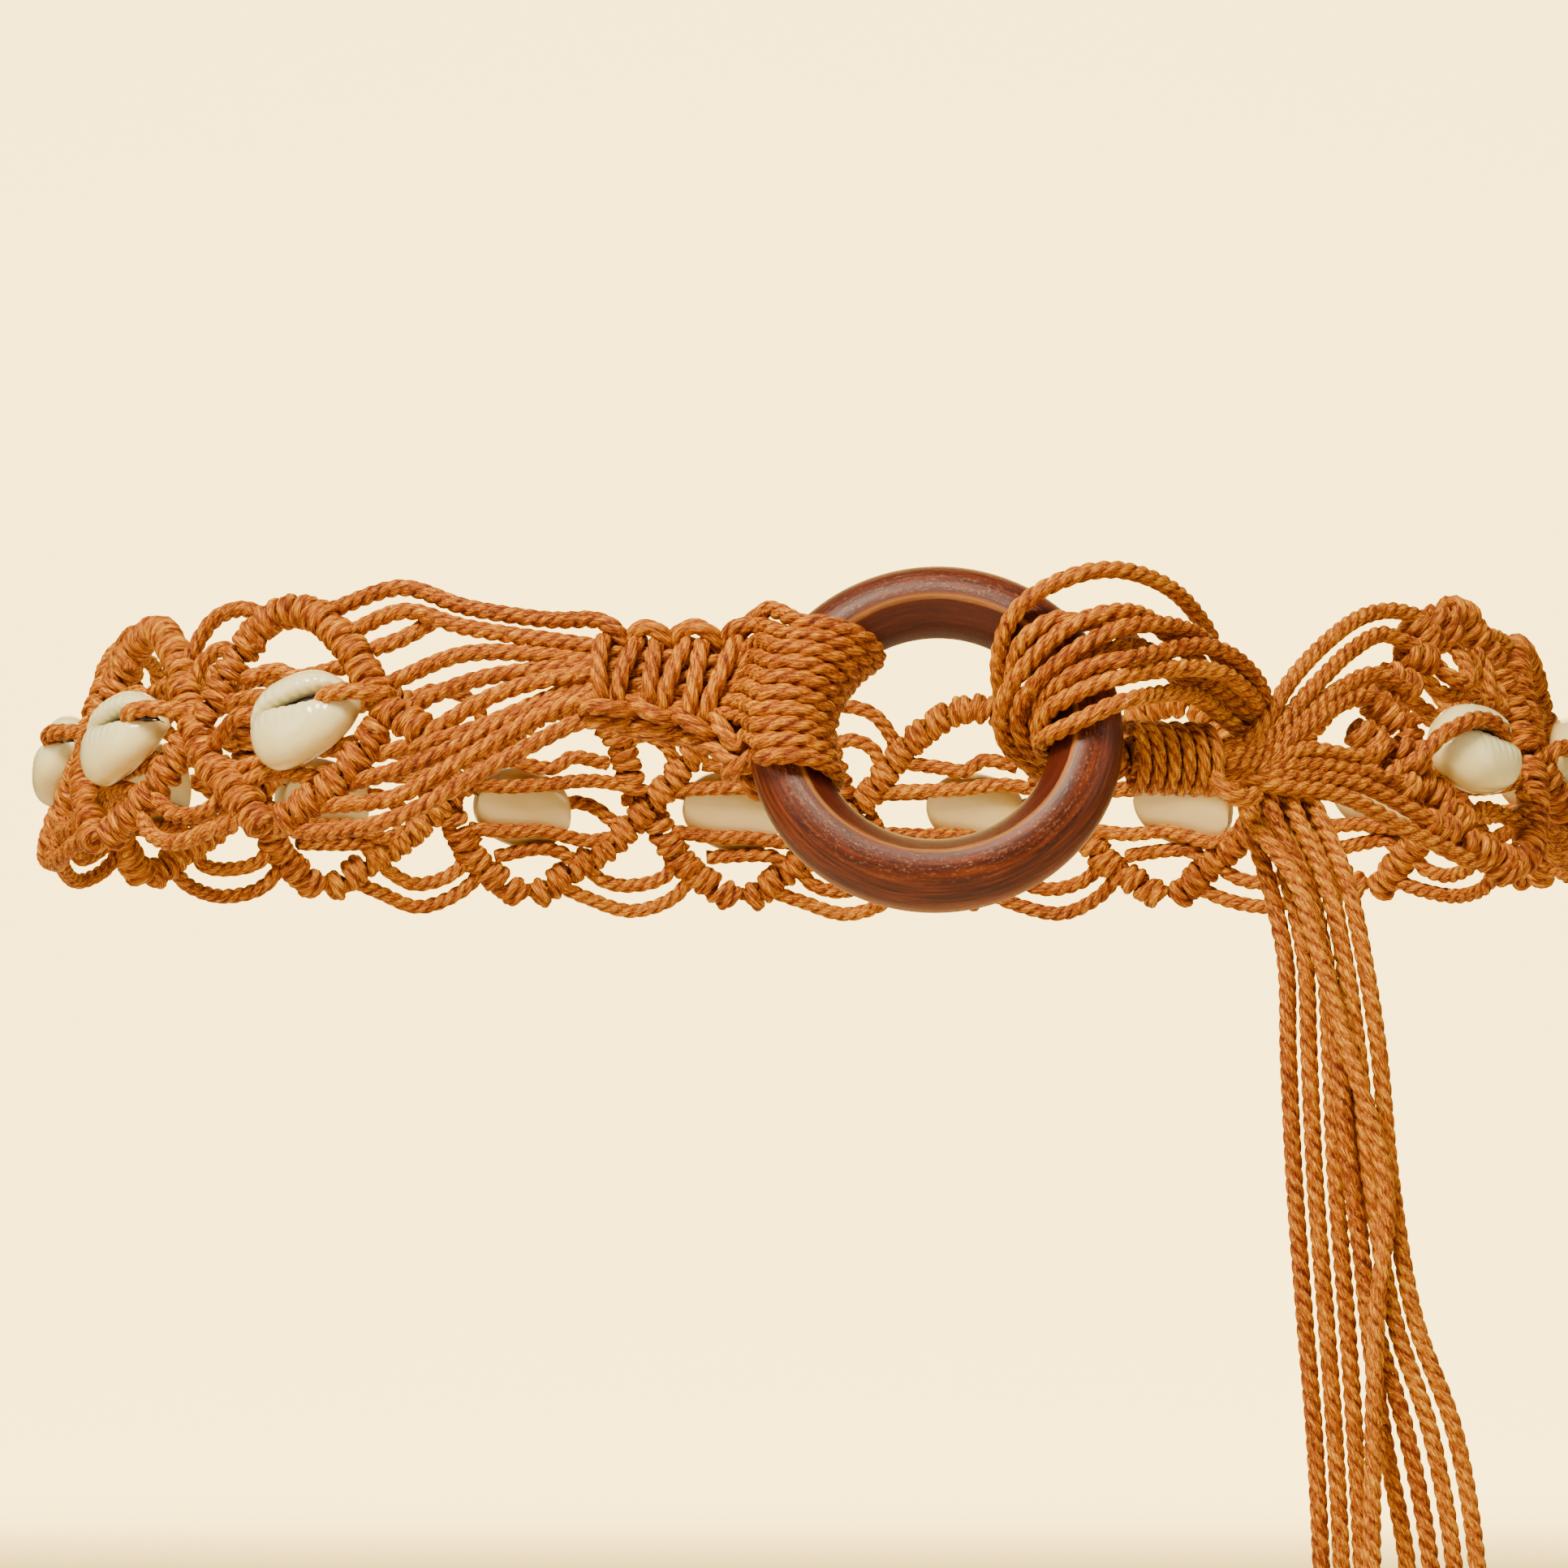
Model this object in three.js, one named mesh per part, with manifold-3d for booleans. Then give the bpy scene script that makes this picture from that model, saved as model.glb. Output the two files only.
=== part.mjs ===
// Knotted cord belt with cowrie shells, tied at a wooden ring, as it lies round a waist.
// Millimetres, +Z up. The origin is the middle of the waist, level with the band's centre line in front.
import * as THREE from 'three'
import { mergeVertices } from 'three/addons/utils/BufferGeometryUtils.js'
import Module from 'manifold-3d'

// Waist: an oval in plan, with sides that widen downwards over the hips.
const WAIST_HALF_WIDTH = 139
const WAIST_HALF_DEPTH = 100
const HIP_FLARE = THREE.MathUtils.degToRad(18)

// Cord, and the clearance between pieces and over the body.
const CORD = 3
const GAP = 0.3
const CORD_SIDES = 5

// Wooden ring: outside diameter, width of its band, depth from front to back, place and lean.
const RING_OUTSIDE = 65
const RING_BAND = 12.9
const RING_DEPTH = 14
const RING_ALONG = 18.1
const RING_RISE = -10
const RING_LIFT = 4.5
const RING_LEAN = THREE.MathUtils.degToRad(-2)
const RING_TURN = THREE.MathUtils.degToRad(-8)

// Hitches over the ring's left side.
const HITCH_TURNS = 10
const HITCH_SLACK = 0.5
const HITCH_OPENING = THREE.MathUtils.degToRad(40)

// Square knots beside the ring.
const NECK_START = -16.5
const NECK_LENGTH = 25
const NECK_THICK = 8.5
const NECK_KNOTS = 3
const KNOT_RELIEF = 0.8

// Diamond band.
const BAND_LEFT_END = -78
const BAND_RIGHT_END = 105
const BAND_LEFT_RISE = -0.5
const BAND_RIGHT_RISE = -3
const DIAMONDS = 13
const DIAMOND_HEIGHT = 42
const LAST_DIAMOND_STRETCH = 1.14
const RIB = 6.8
const RIB_SIDES = 6
const RIB_LIFT = GAP + RIB / 2
const BAND_CORD_SIDES = 4
const APEX_KNOT_LENGTH = 8

// Cowrie shell: length, width, thickness, depth of the slit along its face.
const SHELL_LENGTH = 21.5
const SHELL_WIDTH = 16
const SHELL_THICK = 9.5
const SHELL_SLIT_DEPTH = 3
const SHELL_SHIFT = 3.5

// Right end: the bundle of cords and the winding round it.
const COIL_START = 51.5
const COIL_TURNS = 7
const COIL_LENGTH = 16.4
const COIL_OUTSIDE = 13.5
const COIL_RISE = -11.2
const COIL_LIFT = COIL_OUTSIDE / 2 + GAP
const STEM = COIL_OUTSIDE - 2 * CORD - 2 * GAP

// Bundle of cord ends behind the right fan, and the loose ends under it.
const DROP_THICK = 5
const DROP_BOTTOM = -18.5

const HANG_SIDES = 8
const HANG_STEPS = 17

// Finishes.
const CORD_COLOUR = 0xb2641f
const WOOD_COLOUR = 0x6e3420
const SHELL_COLOUR = 0xefe3bd
const CORD_ROUGHNESS = 0.6
const WOOD_ROUGHNESS = 0.38
const SHELL_ROUGHNESS = 0.22

// Places on the belt: along it from the front middle, up its slope, and out from the body.
const waist = new THREE.EllipseCurve(0, 0, WAIST_HALF_WIDTH, WAIST_HALF_DEPTH, -Math.PI / 2, 1.5 * Math.PI)
waist.arcLengthDivisions = 2000
const WAIST_ROUND = waist.getLength()

function beltFrame(along) {
  const share = THREE.MathUtils.euclideanModulo(along / WAIST_ROUND, 1)
  const place = waist.getPointAt(share)
  const tangent = waist.getTangentAt(share)
  const east = new THREE.Vector3(tangent.x, tangent.y, 0)
  const level = new THREE.Vector3(east.y, -east.x, 0)
  const out = level.clone().multiplyScalar(Math.cos(HIP_FLARE))
  out.z = Math.sin(HIP_FLARE)
  const up = level.clone().multiplyScalar(-Math.sin(HIP_FLARE))
  up.z = Math.cos(HIP_FLARE)
  return { place: new THREE.Vector3(place.x, place.y, 0), east, level, up, out }
}

function onBelt(along, rise, lift) {
  const { place, up, out } = beltFrame(along)
  return place.addScaledVector(up, rise).addScaledVector(out, lift)
}

// Places in the ring's own plane: right, up its slope, and out from its middle.
const ringFrame = beltFrame(RING_ALONG)
ringFrame.up.applyAxisAngle(ringFrame.east, RING_LEAN)
ringFrame.east.applyAxisAngle(ringFrame.up, RING_TURN)
ringFrame.out.crossVectors(ringFrame.east, ringFrame.up)
const ringCentre = onBelt(RING_ALONG, RING_RISE, RING_LIFT + RING_DEPTH / 2)

function onRing(right, up, out) {
  return ringCentre.clone()
    .addScaledVector(ringFrame.east, right)
    .addScaledVector(ringFrame.up, up)
    .addScaledVector(ringFrame.out, out)
}

// Solids joined and cut.
const wasm = await Module()
wasm.setup()

function toSolid(geometry) {
  const bare = geometry.clone()
  bare.deleteAttribute('normal')
  bare.deleteAttribute('uv')
  const merged = mergeVertices(bare, 1e-4)
  return new wasm.Manifold(new wasm.Mesh({
    numProp: 3,
    vertProperties: new Float32Array(merged.attributes.position.array),
    triVerts: new Uint32Array(merged.index.array)
  }))
}

function toGeometry(solid) {
  const mesh = solid.getMesh()
  const geometry = new THREE.BufferGeometry()
  geometry.setAttribute('position', new THREE.BufferAttribute(new Float32Array(mesh.vertProperties), 3))
  geometry.setIndex(new THREE.BufferAttribute(new Uint32Array(mesh.triVerts), 1))
  return geometry
}

function join(geometries) {
  return geometries.map(toSolid).reduce((whole, piece) => whole.add(piece))
}

// A cord or rib: a round section swept along a smooth curve through the points.
function cord(points, diameter, sides, steps) {
  const corners = Array.from({ length: sides }, (_, k) => {
    const turn = (k + 0.5) / sides * 2 * Math.PI
    return new THREE.Vector2(Math.cos(turn), Math.sin(turn)).multiplyScalar(diameter / 2)
  })
  const extrudePath = new THREE.CatmullRomCurve3(points, false, 'centripetal')
  return new THREE.ExtrudeGeometry(new THREE.Shape(corners), { steps, extrudePath, bevelEnabled: false })
}

// A closed body through a row of sections, each a loop of as many points, capped at both ends.
function loft(sections, outline) {
  const count = outline.length
  const faces = []
  for (let row = 0; row + 1 < sections.length; row++) {
    for (let k = 0; k < count; k++) {
      const a = row * count + k
      const b = row * count + (k + 1) % count
      faces.push(a, b, b + count, a, b + count, a + count)
    }
  }
  const last = (sections.length - 1) * count
  for (const [a, b, c] of THREE.ShapeUtils.triangulateShape(outline, [])) {
    faces.push(a, c, b, last + a, last + b, last + c)
  }
  const geometry = new THREE.BufferGeometry()
  const positions = sections.flat().flatMap(point => point.toArray())
  geometry.setAttribute('position', new THREE.Float32BufferAttribute(positions, 3))
  geometry.setIndex(faces)
  return geometry
}

// Named meshes.
const belt = new THREE.Group()

function addPiece(name, geometry, color, roughness) {
  const piece = new THREE.Mesh(geometry, new THREE.MeshStandardMaterial({ color, roughness, metalness: 0 }))
  piece.name = name
  belt.add(piece)
}

function addCord(name, geometry) {
  addPiece(name, geometry, CORD_COLOUR, CORD_ROUGHNESS)
}

// Wooden ring: its section from the hole to the outside, as shares of the band and of half the depth.
const RING_SECTION = [
  { across: 0, depth: 0 },
  { across: 0.03, depth: 0.34 },
  { across: 0.37, depth: 0.93 },
  { across: 0.6, depth: 0.98 },
  { across: 0.85, depth: 0.7 },
  { across: 0.97, depth: 0.34 },
  { across: 1, depth: 0 }
]
const RING_STEPS = 28

function woodRing() {
  const hole = RING_OUTSIDE / 2 - RING_BAND
  const corner = (row, side) => new THREE.Vector2(hole + row.across * RING_BAND, side * row.depth * RING_DEPTH / 2)
  const back = RING_SECTION.map(row => corner(row, -1))
  const front = RING_SECTION.slice(1, -1).map(row => corner(row, 1)).reverse()
  const profile = [...back, ...front, back[0].clone()]
  const ring = new THREE.LatheGeometry(profile, RING_STEPS)
  ring.rotateX(Math.PI / 2)
  return ring.applyMatrix4(new THREE.Matrix4()
    .makeBasis(ringFrame.east, ringFrame.up, ringFrame.out)
    .setPosition(ringCentre))
}

// Hitches: a sleeve round the ring's left side with one ridge for each turn of cord, open towards the knots.
// The angles on the ring where the first and last turn pass its hole and its outside.
const HITCH_FIRST = { hole: THREE.MathUtils.degToRad(122), outside: THREE.MathUtils.degToRad(141) }
const HITCH_LAST = { hole: THREE.MathUtils.degToRad(200), outside: THREE.MathUtils.degToRad(190) }

function hitchSleeve() {
  const arcPoints = 7
  const wrapped = 2 * Math.PI - 2 * HITCH_OPENING
  const turns = Array.from({ length: arcPoints }, (_, k) => (k / (arcPoints - 1) - 0.5) * wrapped)
  const outline = [...turns, ...turns.slice().reverse()].map((turn, k) => {
    const reach = k < arcPoints ? 2 : 1
    return new THREE.Vector2(reach * Math.cos(turn), reach * Math.sin(turn))
  })
  const sections = []
  const rows = 2 * HITCH_TURNS
  for (let row = 0; row <= rows; row++) {
    const share = (row - 1) / (rows - 2)
    const holeTurn = THREE.MathUtils.lerp(HITCH_FIRST.hole, HITCH_LAST.hole, share)
    const outsideTurn = THREE.MathUtils.lerp(HITCH_FIRST.outside, HITCH_LAST.outside, share)
    const holeRadius = RING_OUTSIDE / 2 - RING_BAND
    const inner = new THREE.Vector2(Math.cos(holeTurn), Math.sin(holeTurn)).multiplyScalar(holeRadius)
    const outer = new THREE.Vector2(Math.cos(outsideTurn), Math.sin(outsideTurn)).multiplyScalar(RING_OUTSIDE / 2)
    const middle = inner.clone().add(outer).multiplyScalar(0.5)
    const toHole = inner.clone().sub(middle)
    const halfAcross = toHole.length()
    toHole.normalize()
    const thick = row % 2 ? CORD : CORD * 0.5
    const place = (turn, offset) => onRing(
      middle.x + toHole.x * (halfAcross + offset) * Math.cos(turn),
      middle.y + toHole.y * (halfAcross + offset) * Math.cos(turn),
      (RING_DEPTH / 2 + offset) * Math.sin(turn)
    )
    sections.push([
      ...turns.map(turn => place(turn, GAP + HITCH_SLACK + thick)),
      ...turns.slice().reverse().map(turn => place(turn, GAP + HITCH_SLACK))
    ])
  }
  return loft(sections, outline)
}

// Square-knot neck: height and middle at its ring end and its band end.
const NECK_RING_END = { height: 21, rise: 3.2 }
const NECK_BAND_END = { height: 13.5, rise: 6.2 }

function knottedNeck() {
  const corners = 8
  const outline = Array.from({ length: corners }, (_, k) => {
    const turn = (k + 0.5) / corners * 2 * Math.PI
    return new THREE.Vector2(Math.cos(turn), Math.sin(turn))
  })
  const rows = 4 * NECK_KNOTS
  const sections = []
  for (let row = 0; row <= rows; row++) {
    const share = row / rows
    const relief = row % 2 ? KNOT_RELIEF : 0
    const height = THREE.MathUtils.lerp(NECK_RING_END.height, NECK_BAND_END.height, share ** 0.5)
    const rise = THREE.MathUtils.lerp(NECK_RING_END.rise, NECK_BAND_END.rise, share)
    const along = NECK_START - share * NECK_LENGTH
    sections.push(outline.map(corner => onBelt(
      along,
      rise + corner.y * (height / 2 + relief - KNOT_RELIEF),
      GAP + NECK_THICK / 2 + corner.x * (NECK_THICK / 2 + relief - KNOT_RELIEF)
    )))
  }
  return loft(sections, outline)
}

// Cords of the left fan: where each leaves the band, passes mid-way, and enters the knots.
const LEFT_FAN = [
  { along: -93, rise: 22.6, midAlong: -72, midRise: 22.6, neckRise: 11.2 },
  { along: -87.6, rise: 17.2, midAlong: -70, midRise: 17.6, neckRise: 9.4 },
  { along: -77, rise: 6.8, midAlong: -62, midRise: 10.6, neckRise: 7.8 },
  { along: -73.5, rise: 0.5, midAlong: -58, midRise: 5.6, neckRise: 6.6 },
  { along: -71, rise: -3, midAlong: -56, midRise: 1.8, neckRise: 5 },
  { along: -76, rise: -6.6, midAlong: -62, midRise: -4.3, neckRise: 3.8 },
  { along: -80.4, rise: -12, midAlong: -64, midRise: -8, neckRise: 2.6 },
  { along: -85.6, rise: -16.8, midAlong: -67, midRise: -13.8, neckRise: 1.6 },
  { along: -90.2, rise: -22.2, midAlong: -66, midRise: -18, neckRise: 0.6 }
]
const FAN_LIFT = 3.9

function leftFan() {
  const neckEnd = NECK_START - NECK_LENGTH
  const neckLift = GAP + NECK_THICK / 2
  const cords = LEFT_FAN.map(row => cord([
    onBelt(row.along, row.rise, FAN_LIFT),
    onBelt((row.along + row.midAlong) / 2, (row.rise + row.midRise) / 2 + 0.6, FAN_LIFT),
    onBelt(row.midAlong, row.midRise, FAN_LIFT),
    onBelt(neckEnd - CORD, row.neckRise, neckLift),
    onBelt(neckEnd + CORD, row.neckRise, neckLift)
  ], CORD, CORD_SIDES, 4))
  const apexKnot = cord([
    onBelt(BAND_LEFT_END + GAP / 2, BAND_LEFT_RISE, RIB_LIFT),
    onBelt(BAND_LEFT_END + APEX_KNOT_LENGTH, BAND_LEFT_RISE, RIB_LIFT)
  ], RIB, RIB_SIDES, 1)
  return join([knottedNeck(), apexKnot, ...cords])
}

// Diamond band: a frame of four ribs, cords across its middle, and loops from one top to the next.
// Places are shares of half a diamond's width and half its height.
const DIAMOND_CORDS = [
  { fromAcross: -0.55, fromHigh: 0.46, midHigh: 0.5, toAcross: 0.55, toHigh: 0.46, lift: 2.2 },
  { fromAcross: -0.55, fromHigh: -0.46, midHigh: -0.52, toAcross: 0.55, toHigh: -0.46, lift: 2.2 },
  { fromAcross: -0.88, fromHigh: 0, midHigh: 0, toAcross: 0.88, toHigh: 0, lift: 1.9 }
]
const DIAMOND_LOOPS = [
  { fromAcross: 0.16, fromHigh: 0.88, toHigh: 0.86 },
  { fromAcross: 0.16, fromHigh: -0.88, toHigh: -0.98 }
]
const BAND_LENGTH = WAIST_ROUND + BAND_LEFT_END - BAND_RIGHT_END
const DIAMOND_WIDTH = BAND_LENGTH / DIAMONDS

function bandRise(along) {
  return THREE.MathUtils.lerp(BAND_LEFT_RISE, BAND_RIGHT_RISE, (BAND_LEFT_END - along) / BAND_LENGTH)
}

function diamondCentre(index) {
  return BAND_LEFT_END - (index + 0.5) * DIAMOND_WIDTH
}

// The ribs as one closed frame: level sections beside its left and right corners, upright ones at top and foot.
// A corner stops short of its neighbour's by the gap.
function diamondFrame(index, halfHeight) {
  const centre = diamondCentre(index)
  const halfWidth = DIAMOND_WIDTH / 2
  const side = halfWidth - GAP / 2
  const slope = halfHeight / halfWidth
  const beside = RIB / 2
  const level = Math.hypot(1, slope) / slope
  const upright = Math.hypot(1, slope)
  const rows = [
    { across: halfWidth - beside / slope, high: beside, levelStep: level, uprightStep: 0 },
    { across: 0, high: halfHeight, levelStep: 0, uprightStep: upright },
    { across: beside / slope - halfWidth, high: beside, levelStep: -level, uprightStep: 0 },
    { across: beside / slope - halfWidth, high: -beside, levelStep: -level, uprightStep: 0 },
    { across: 0, high: -halfHeight, levelStep: 0, uprightStep: -upright },
    { across: halfWidth - beside / slope, high: -beside, levelStep: level, uprightStep: 0 }
  ]
  const positions = []
  for (const row of rows) {
    for (let k = 0; k < RIB_SIDES; k++) {
      const turn = (k + 0.5) / RIB_SIDES * 2 * Math.PI
      const step = RIB / 2 * Math.cos(turn)
      const across = THREE.MathUtils.clamp(row.across + step * row.levelStep, -side, side)
      const along = centre + across
      const rise = bandRise(along) + row.high + step * row.uprightStep
      positions.push(...onBelt(along, rise, RIB_LIFT + RIB / 2 * Math.sin(turn)).toArray())
    }
  }
  const faces = []
  for (let row = 0; row < rows.length; row++) {
    for (let k = 0; k < RIB_SIDES; k++) {
      const a = row * RIB_SIDES + k
      const b = row * RIB_SIDES + (k + 1) % RIB_SIDES
      const next = ((row + 1) % rows.length - row) * RIB_SIDES
      faces.push(a, b + next, b, a, a + next, b + next)
    }
  }
  const geometry = new THREE.BufferGeometry()
  geometry.setAttribute('position', new THREE.Float32BufferAttribute(positions, 3))
  geometry.setIndex(faces)
  return geometry
}

function diamond(index) {
  const centre = diamondCentre(index)
  const halfHeight = DIAMOND_HEIGHT / 2 * (index === DIAMONDS - 1 ? LAST_DIAMOND_STRETCH : 1)
  const place = (across, high, lift) => {
    const along = centre + across * DIAMOND_WIDTH / 2
    return onBelt(along, bandRise(along) + high * halfHeight, lift)
  }
  const parts = [diamondFrame(index, halfHeight)]
  for (const row of DIAMOND_CORDS) {
    parts.push(cord([
      place(row.fromAcross, row.fromHigh, row.lift),
      place((row.fromAcross + row.toAcross) / 2, row.midHigh, row.lift),
      place(row.toAcross, row.toHigh, row.lift)
    ], CORD, BAND_CORD_SIDES, 2))
  }
  const edge = 1 - 2 * GAP / DIAMOND_WIDTH
  const joined = [index > 0 ? 1 : 0, index < DIAMONDS - 1 ? -1 : 0].filter(Boolean)
  for (const row of DIAMOND_LOOPS) {
    for (const side of joined) {
      parts.push(cord([
        place(side * row.fromAcross, row.fromHigh, RIB_LIFT),
        place(side * edge, row.toHigh, RIB_LIFT)
      ], CORD, BAND_CORD_SIDES, 1))
    }
  }
  return toGeometry(join(parts))
}

// Cowrie: sections along its length, as shares of its length, width and thickness, and how open the slit is.
const SHELL_SECTIONS = [
  { along: -0.5, wide: 0.3, high: 0.45, slit: 0 },
  { along: -0.34, wide: 0.82, high: 0.84, slit: 0.7 },
  { along: -0.05, wide: 1, high: 1, slit: 1 },
  { along: 0.24, wide: 0.86, high: 0.93, slit: 1 },
  { along: 0.42, wide: 0.52, high: 0.7, slit: 0.6 },
  { along: 0.5, wide: 0.26, high: 0.4, slit: 0 }
]
const SHELL_OUTLINE = [
  { across: 0, high: 1, lip: -1 },
  { across: -0.26, high: 1, lip: 0 },
  { across: -0.5, high: 0.5, lip: 0 },
  { across: -0.3, high: 0, lip: 0 },
  { across: 0.3, high: 0, lip: 0 },
  { across: 0.5, high: 0.5, lip: 0 },
  { across: 0.26, high: 1, lip: 0 }
]

function cowrie(index) {
  const shift = (index < DIAMONDS / 2 ? 1 : -1) * SHELL_SHIFT
  const centre = diamondCentre(index) + shift
  const rise = bandRise(centre)
  const seat = DIAMOND_CORDS[2].lift + CORD / 2 * Math.cos(Math.PI / BAND_CORD_SIDES) + GAP
  const { east, up, out } = beltFrame(centre)
  const origin = onBelt(centre, rise, seat)
  const sections = SHELL_SECTIONS.map(row => SHELL_OUTLINE.map(corner => origin.clone()
    .addScaledVector(east, row.along * SHELL_LENGTH)
    .addScaledVector(up, corner.across * row.wide * SHELL_WIDTH)
    .addScaledVector(out, lift(row, corner))))
  const outline = SHELL_OUTLINE.map(corner => new THREE.Vector2(corner.across, corner.high + corner.lip * 0.01))
  return loft(sections, outline)
}

function lift(row, corner) {
  const middle = 0.45 * SHELL_THICK
  const height = middle + (corner.high * SHELL_THICK - middle) * row.high
  return height + corner.lip * row.slit * SHELL_SLIT_DEPTH
}

// Right fan: where each cord leaves the bundle, passes mid-way, and reaches the band.
const RIGHT_FAN = [
  { spread: 1.8, midAlong: 88, midRise: 9, along: 120.6, rise: 21.8 },
  { spread: 1.2, midAlong: 91, midRise: 6.8, along: 113, rise: 14.4 },
  { spread: 0.6, midAlong: 92, midRise: 2.4, along: 107.4, rise: 8.2 },
  { spread: 0, midAlong: 90, midRise: -2, along: 99.5, rise: -3 },
  { spread: -0.6, midAlong: 88, midRise: -7.6, along: 100, rise: -6 },
  { spread: -1, midAlong: 88, midRise: -11, along: 105, rise: -14 },
  { spread: -1.4, midAlong: 90, midRise: -14, along: 112.4, rise: -22.4 },
  { spread: -1.8, midAlong: 88, midRise: -17.4, along: 118, rise: -28.4 }
]

function rightFan() {
  const coilEnd = COIL_START + COIL_LENGTH
  const bundle = cord([
    onBelt(COIL_START - GAP, COIL_RISE, COIL_LIFT),
    onBelt((COIL_START + coilEnd) / 2, COIL_RISE, COIL_LIFT),
    onBelt(coilEnd + 2 * GAP, COIL_RISE, COIL_LIFT)
  ], STEM, 8, 3)
  const cords = RIGHT_FAN.map(row => cord([
    onBelt(coilEnd + GAP, COIL_RISE + 0.9 * row.spread, COIL_LIFT),
    onBelt(coilEnd + CORD, COIL_RISE + row.spread, COIL_LIFT),
    onBelt(row.midAlong, row.midRise, COIL_LIFT + 0.2),
    onBelt(row.along, row.rise, FAN_LIFT)
  ], CORD, CORD_SIDES, 4))
  const apexKnot = cord([
    onBelt(BAND_RIGHT_END - GAP / 2, BAND_RIGHT_RISE, RIB_LIFT),
    onBelt(BAND_RIGHT_END - APEX_KNOT_LENGTH, BAND_RIGHT_RISE, RIB_LIFT)
  ], RIB, RIB_SIDES, 1)
  return join([bundle, apexKnot, ...cords])
}

// Winding: a sleeve with one ridge for each turn.
function coilWrap() {
  const corners = 10
  const outline = []
  const hole = STEM / 2 + GAP
  for (let row = 0; row <= 2 * COIL_TURNS; row++) {
    const radius = COIL_OUTSIDE / 2 - (row % 2 ? 0 : CORD * 0.3)
    outline.push({ share: row / (2 * COIL_TURNS), radius })
  }
  outline.push({ share: 1, radius: hole }, { share: 0, radius: hole }, { share: 0, radius: outline[0].radius })
  const profile = outline.map(row => new THREE.Vector2(row.radius, row.share * COIL_LENGTH))
  const sleeve = new THREE.LatheGeometry(profile, corners)
  const { east, up, out } = beltFrame(COIL_START + COIL_LENGTH / 2)
  const start = onBelt(COIL_START + COIL_LENGTH / 2, COIL_RISE, COIL_LIFT).addScaledVector(east, -COIL_LENGTH / 2)
  return sleeve.applyMatrix4(new THREE.Matrix4().makeBasis(up, east, out.clone().negate()).setPosition(start))
}

// Ties: cords from the bundle behind the ring, up through its hole and over its right side, side by side as one
// ridged band, with one more in a high loop by itself.
// In shares of the hole's radius: how low each comes through, how far right it stays, where it passes the hole's
// edge. In shares of the ring's outer radius: its crest. On the belt: where it comes down towards the body.
const TIE_BAND = [
  { low: 0.306, reach: 0.638, over: 0.842, crestAt: 0.923, crest: 0.597, along: 60, rise: 13, lift: 13 },
  { low: 0.163, reach: 0.485, over: 0.643, crestAt: 1.015, crest: 0.523, along: 64, rise: 11.4, lift: 12.5 },
  { low: 0.026, reach: 0.587, over: 0.449, crestAt: 1.108, crest: 0.443, along: 67, rise: 9.4, lift: 11.5 },
  { low: -0.112, reach: 0.714, over: 0.224, crestAt: 1.138, crest: 0.357, along: 68, rise: 7, lift: 10.5 },
  { low: -0.25, reach: 0.745, over: 0, crestAt: 1.108, crest: 0.277, along: 67, rise: 4.4, lift: 10.5 },
  { low: -0.388, reach: 0.791, over: -0.224, crestAt: 1.046, crest: 0.197, along: 64, rise: 1.6, lift: 11 }
]
const HIGH_TIE = {
  low: 0.561, reach: 0.459, over: 0.995, crestAt: 0.985, crest: 0.908, along: 65, rise: 17, lift: 13.5
}
const TIE_STATIONS = 11

// The gathered ends behind the right fan, from the foot up, with the width of the bundle.
const DROP_SECTIONS = [
  { rise: DROP_BOTTOM, along: 79.2, wide: 18 },
  { rise: -4, along: 78.5, wide: 11 },
  { rise: 4.5, along: 78.5, wide: 7.5 }
]
const DROP_TOP = DROP_SECTIONS[2]

function tieRoute(row, start, finish) {
  const behind = -RING_DEPTH / 2 - CORD / 2 - GAP - 0.3
  const before = RING_DEPTH / 2 + CORD / 2 + GAP + 0.6
  const outside = RING_OUTSIDE / 2
  const hole = outside - RING_BAND
  const low = hole * row.low
  const reach = hole * row.reach
  const over = hole * row.over
  const crest = outside * row.crest
  const between = (outside - hole) / 2
  return new THREE.CatmullRomCurve3([
    start,
    onRing(hole + between, THREE.MathUtils.lerp(COIL_RISE - RING_RISE, low, 0.7), behind - 0.3),
    onRing(hole, low, behind),
    onRing(reach + CORD / 3, THREE.MathUtils.lerp(low, over, 0.2), -RING_DEPTH / 3),
    onRing(reach, THREE.MathUtils.lerp(low, over, 0.5), 1),
    onRing(reach + CORD * 0.7, THREE.MathUtils.lerp(low, over, 0.85), RING_DEPTH / 2 + 3 * GAP),
    onRing(reach + hole * 0.4, over + CORD * 0.8, before),
    onRing(reach + hole * 0.76, THREE.MathUtils.lerp(over, crest, 0.7), before + 0.4),
    onRing(outside * row.crestAt, crest, before - CORD / 2),
    onBelt(row.along, row.rise, row.lift),
    ...finish
  ], false, 'centripetal')
}

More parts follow.
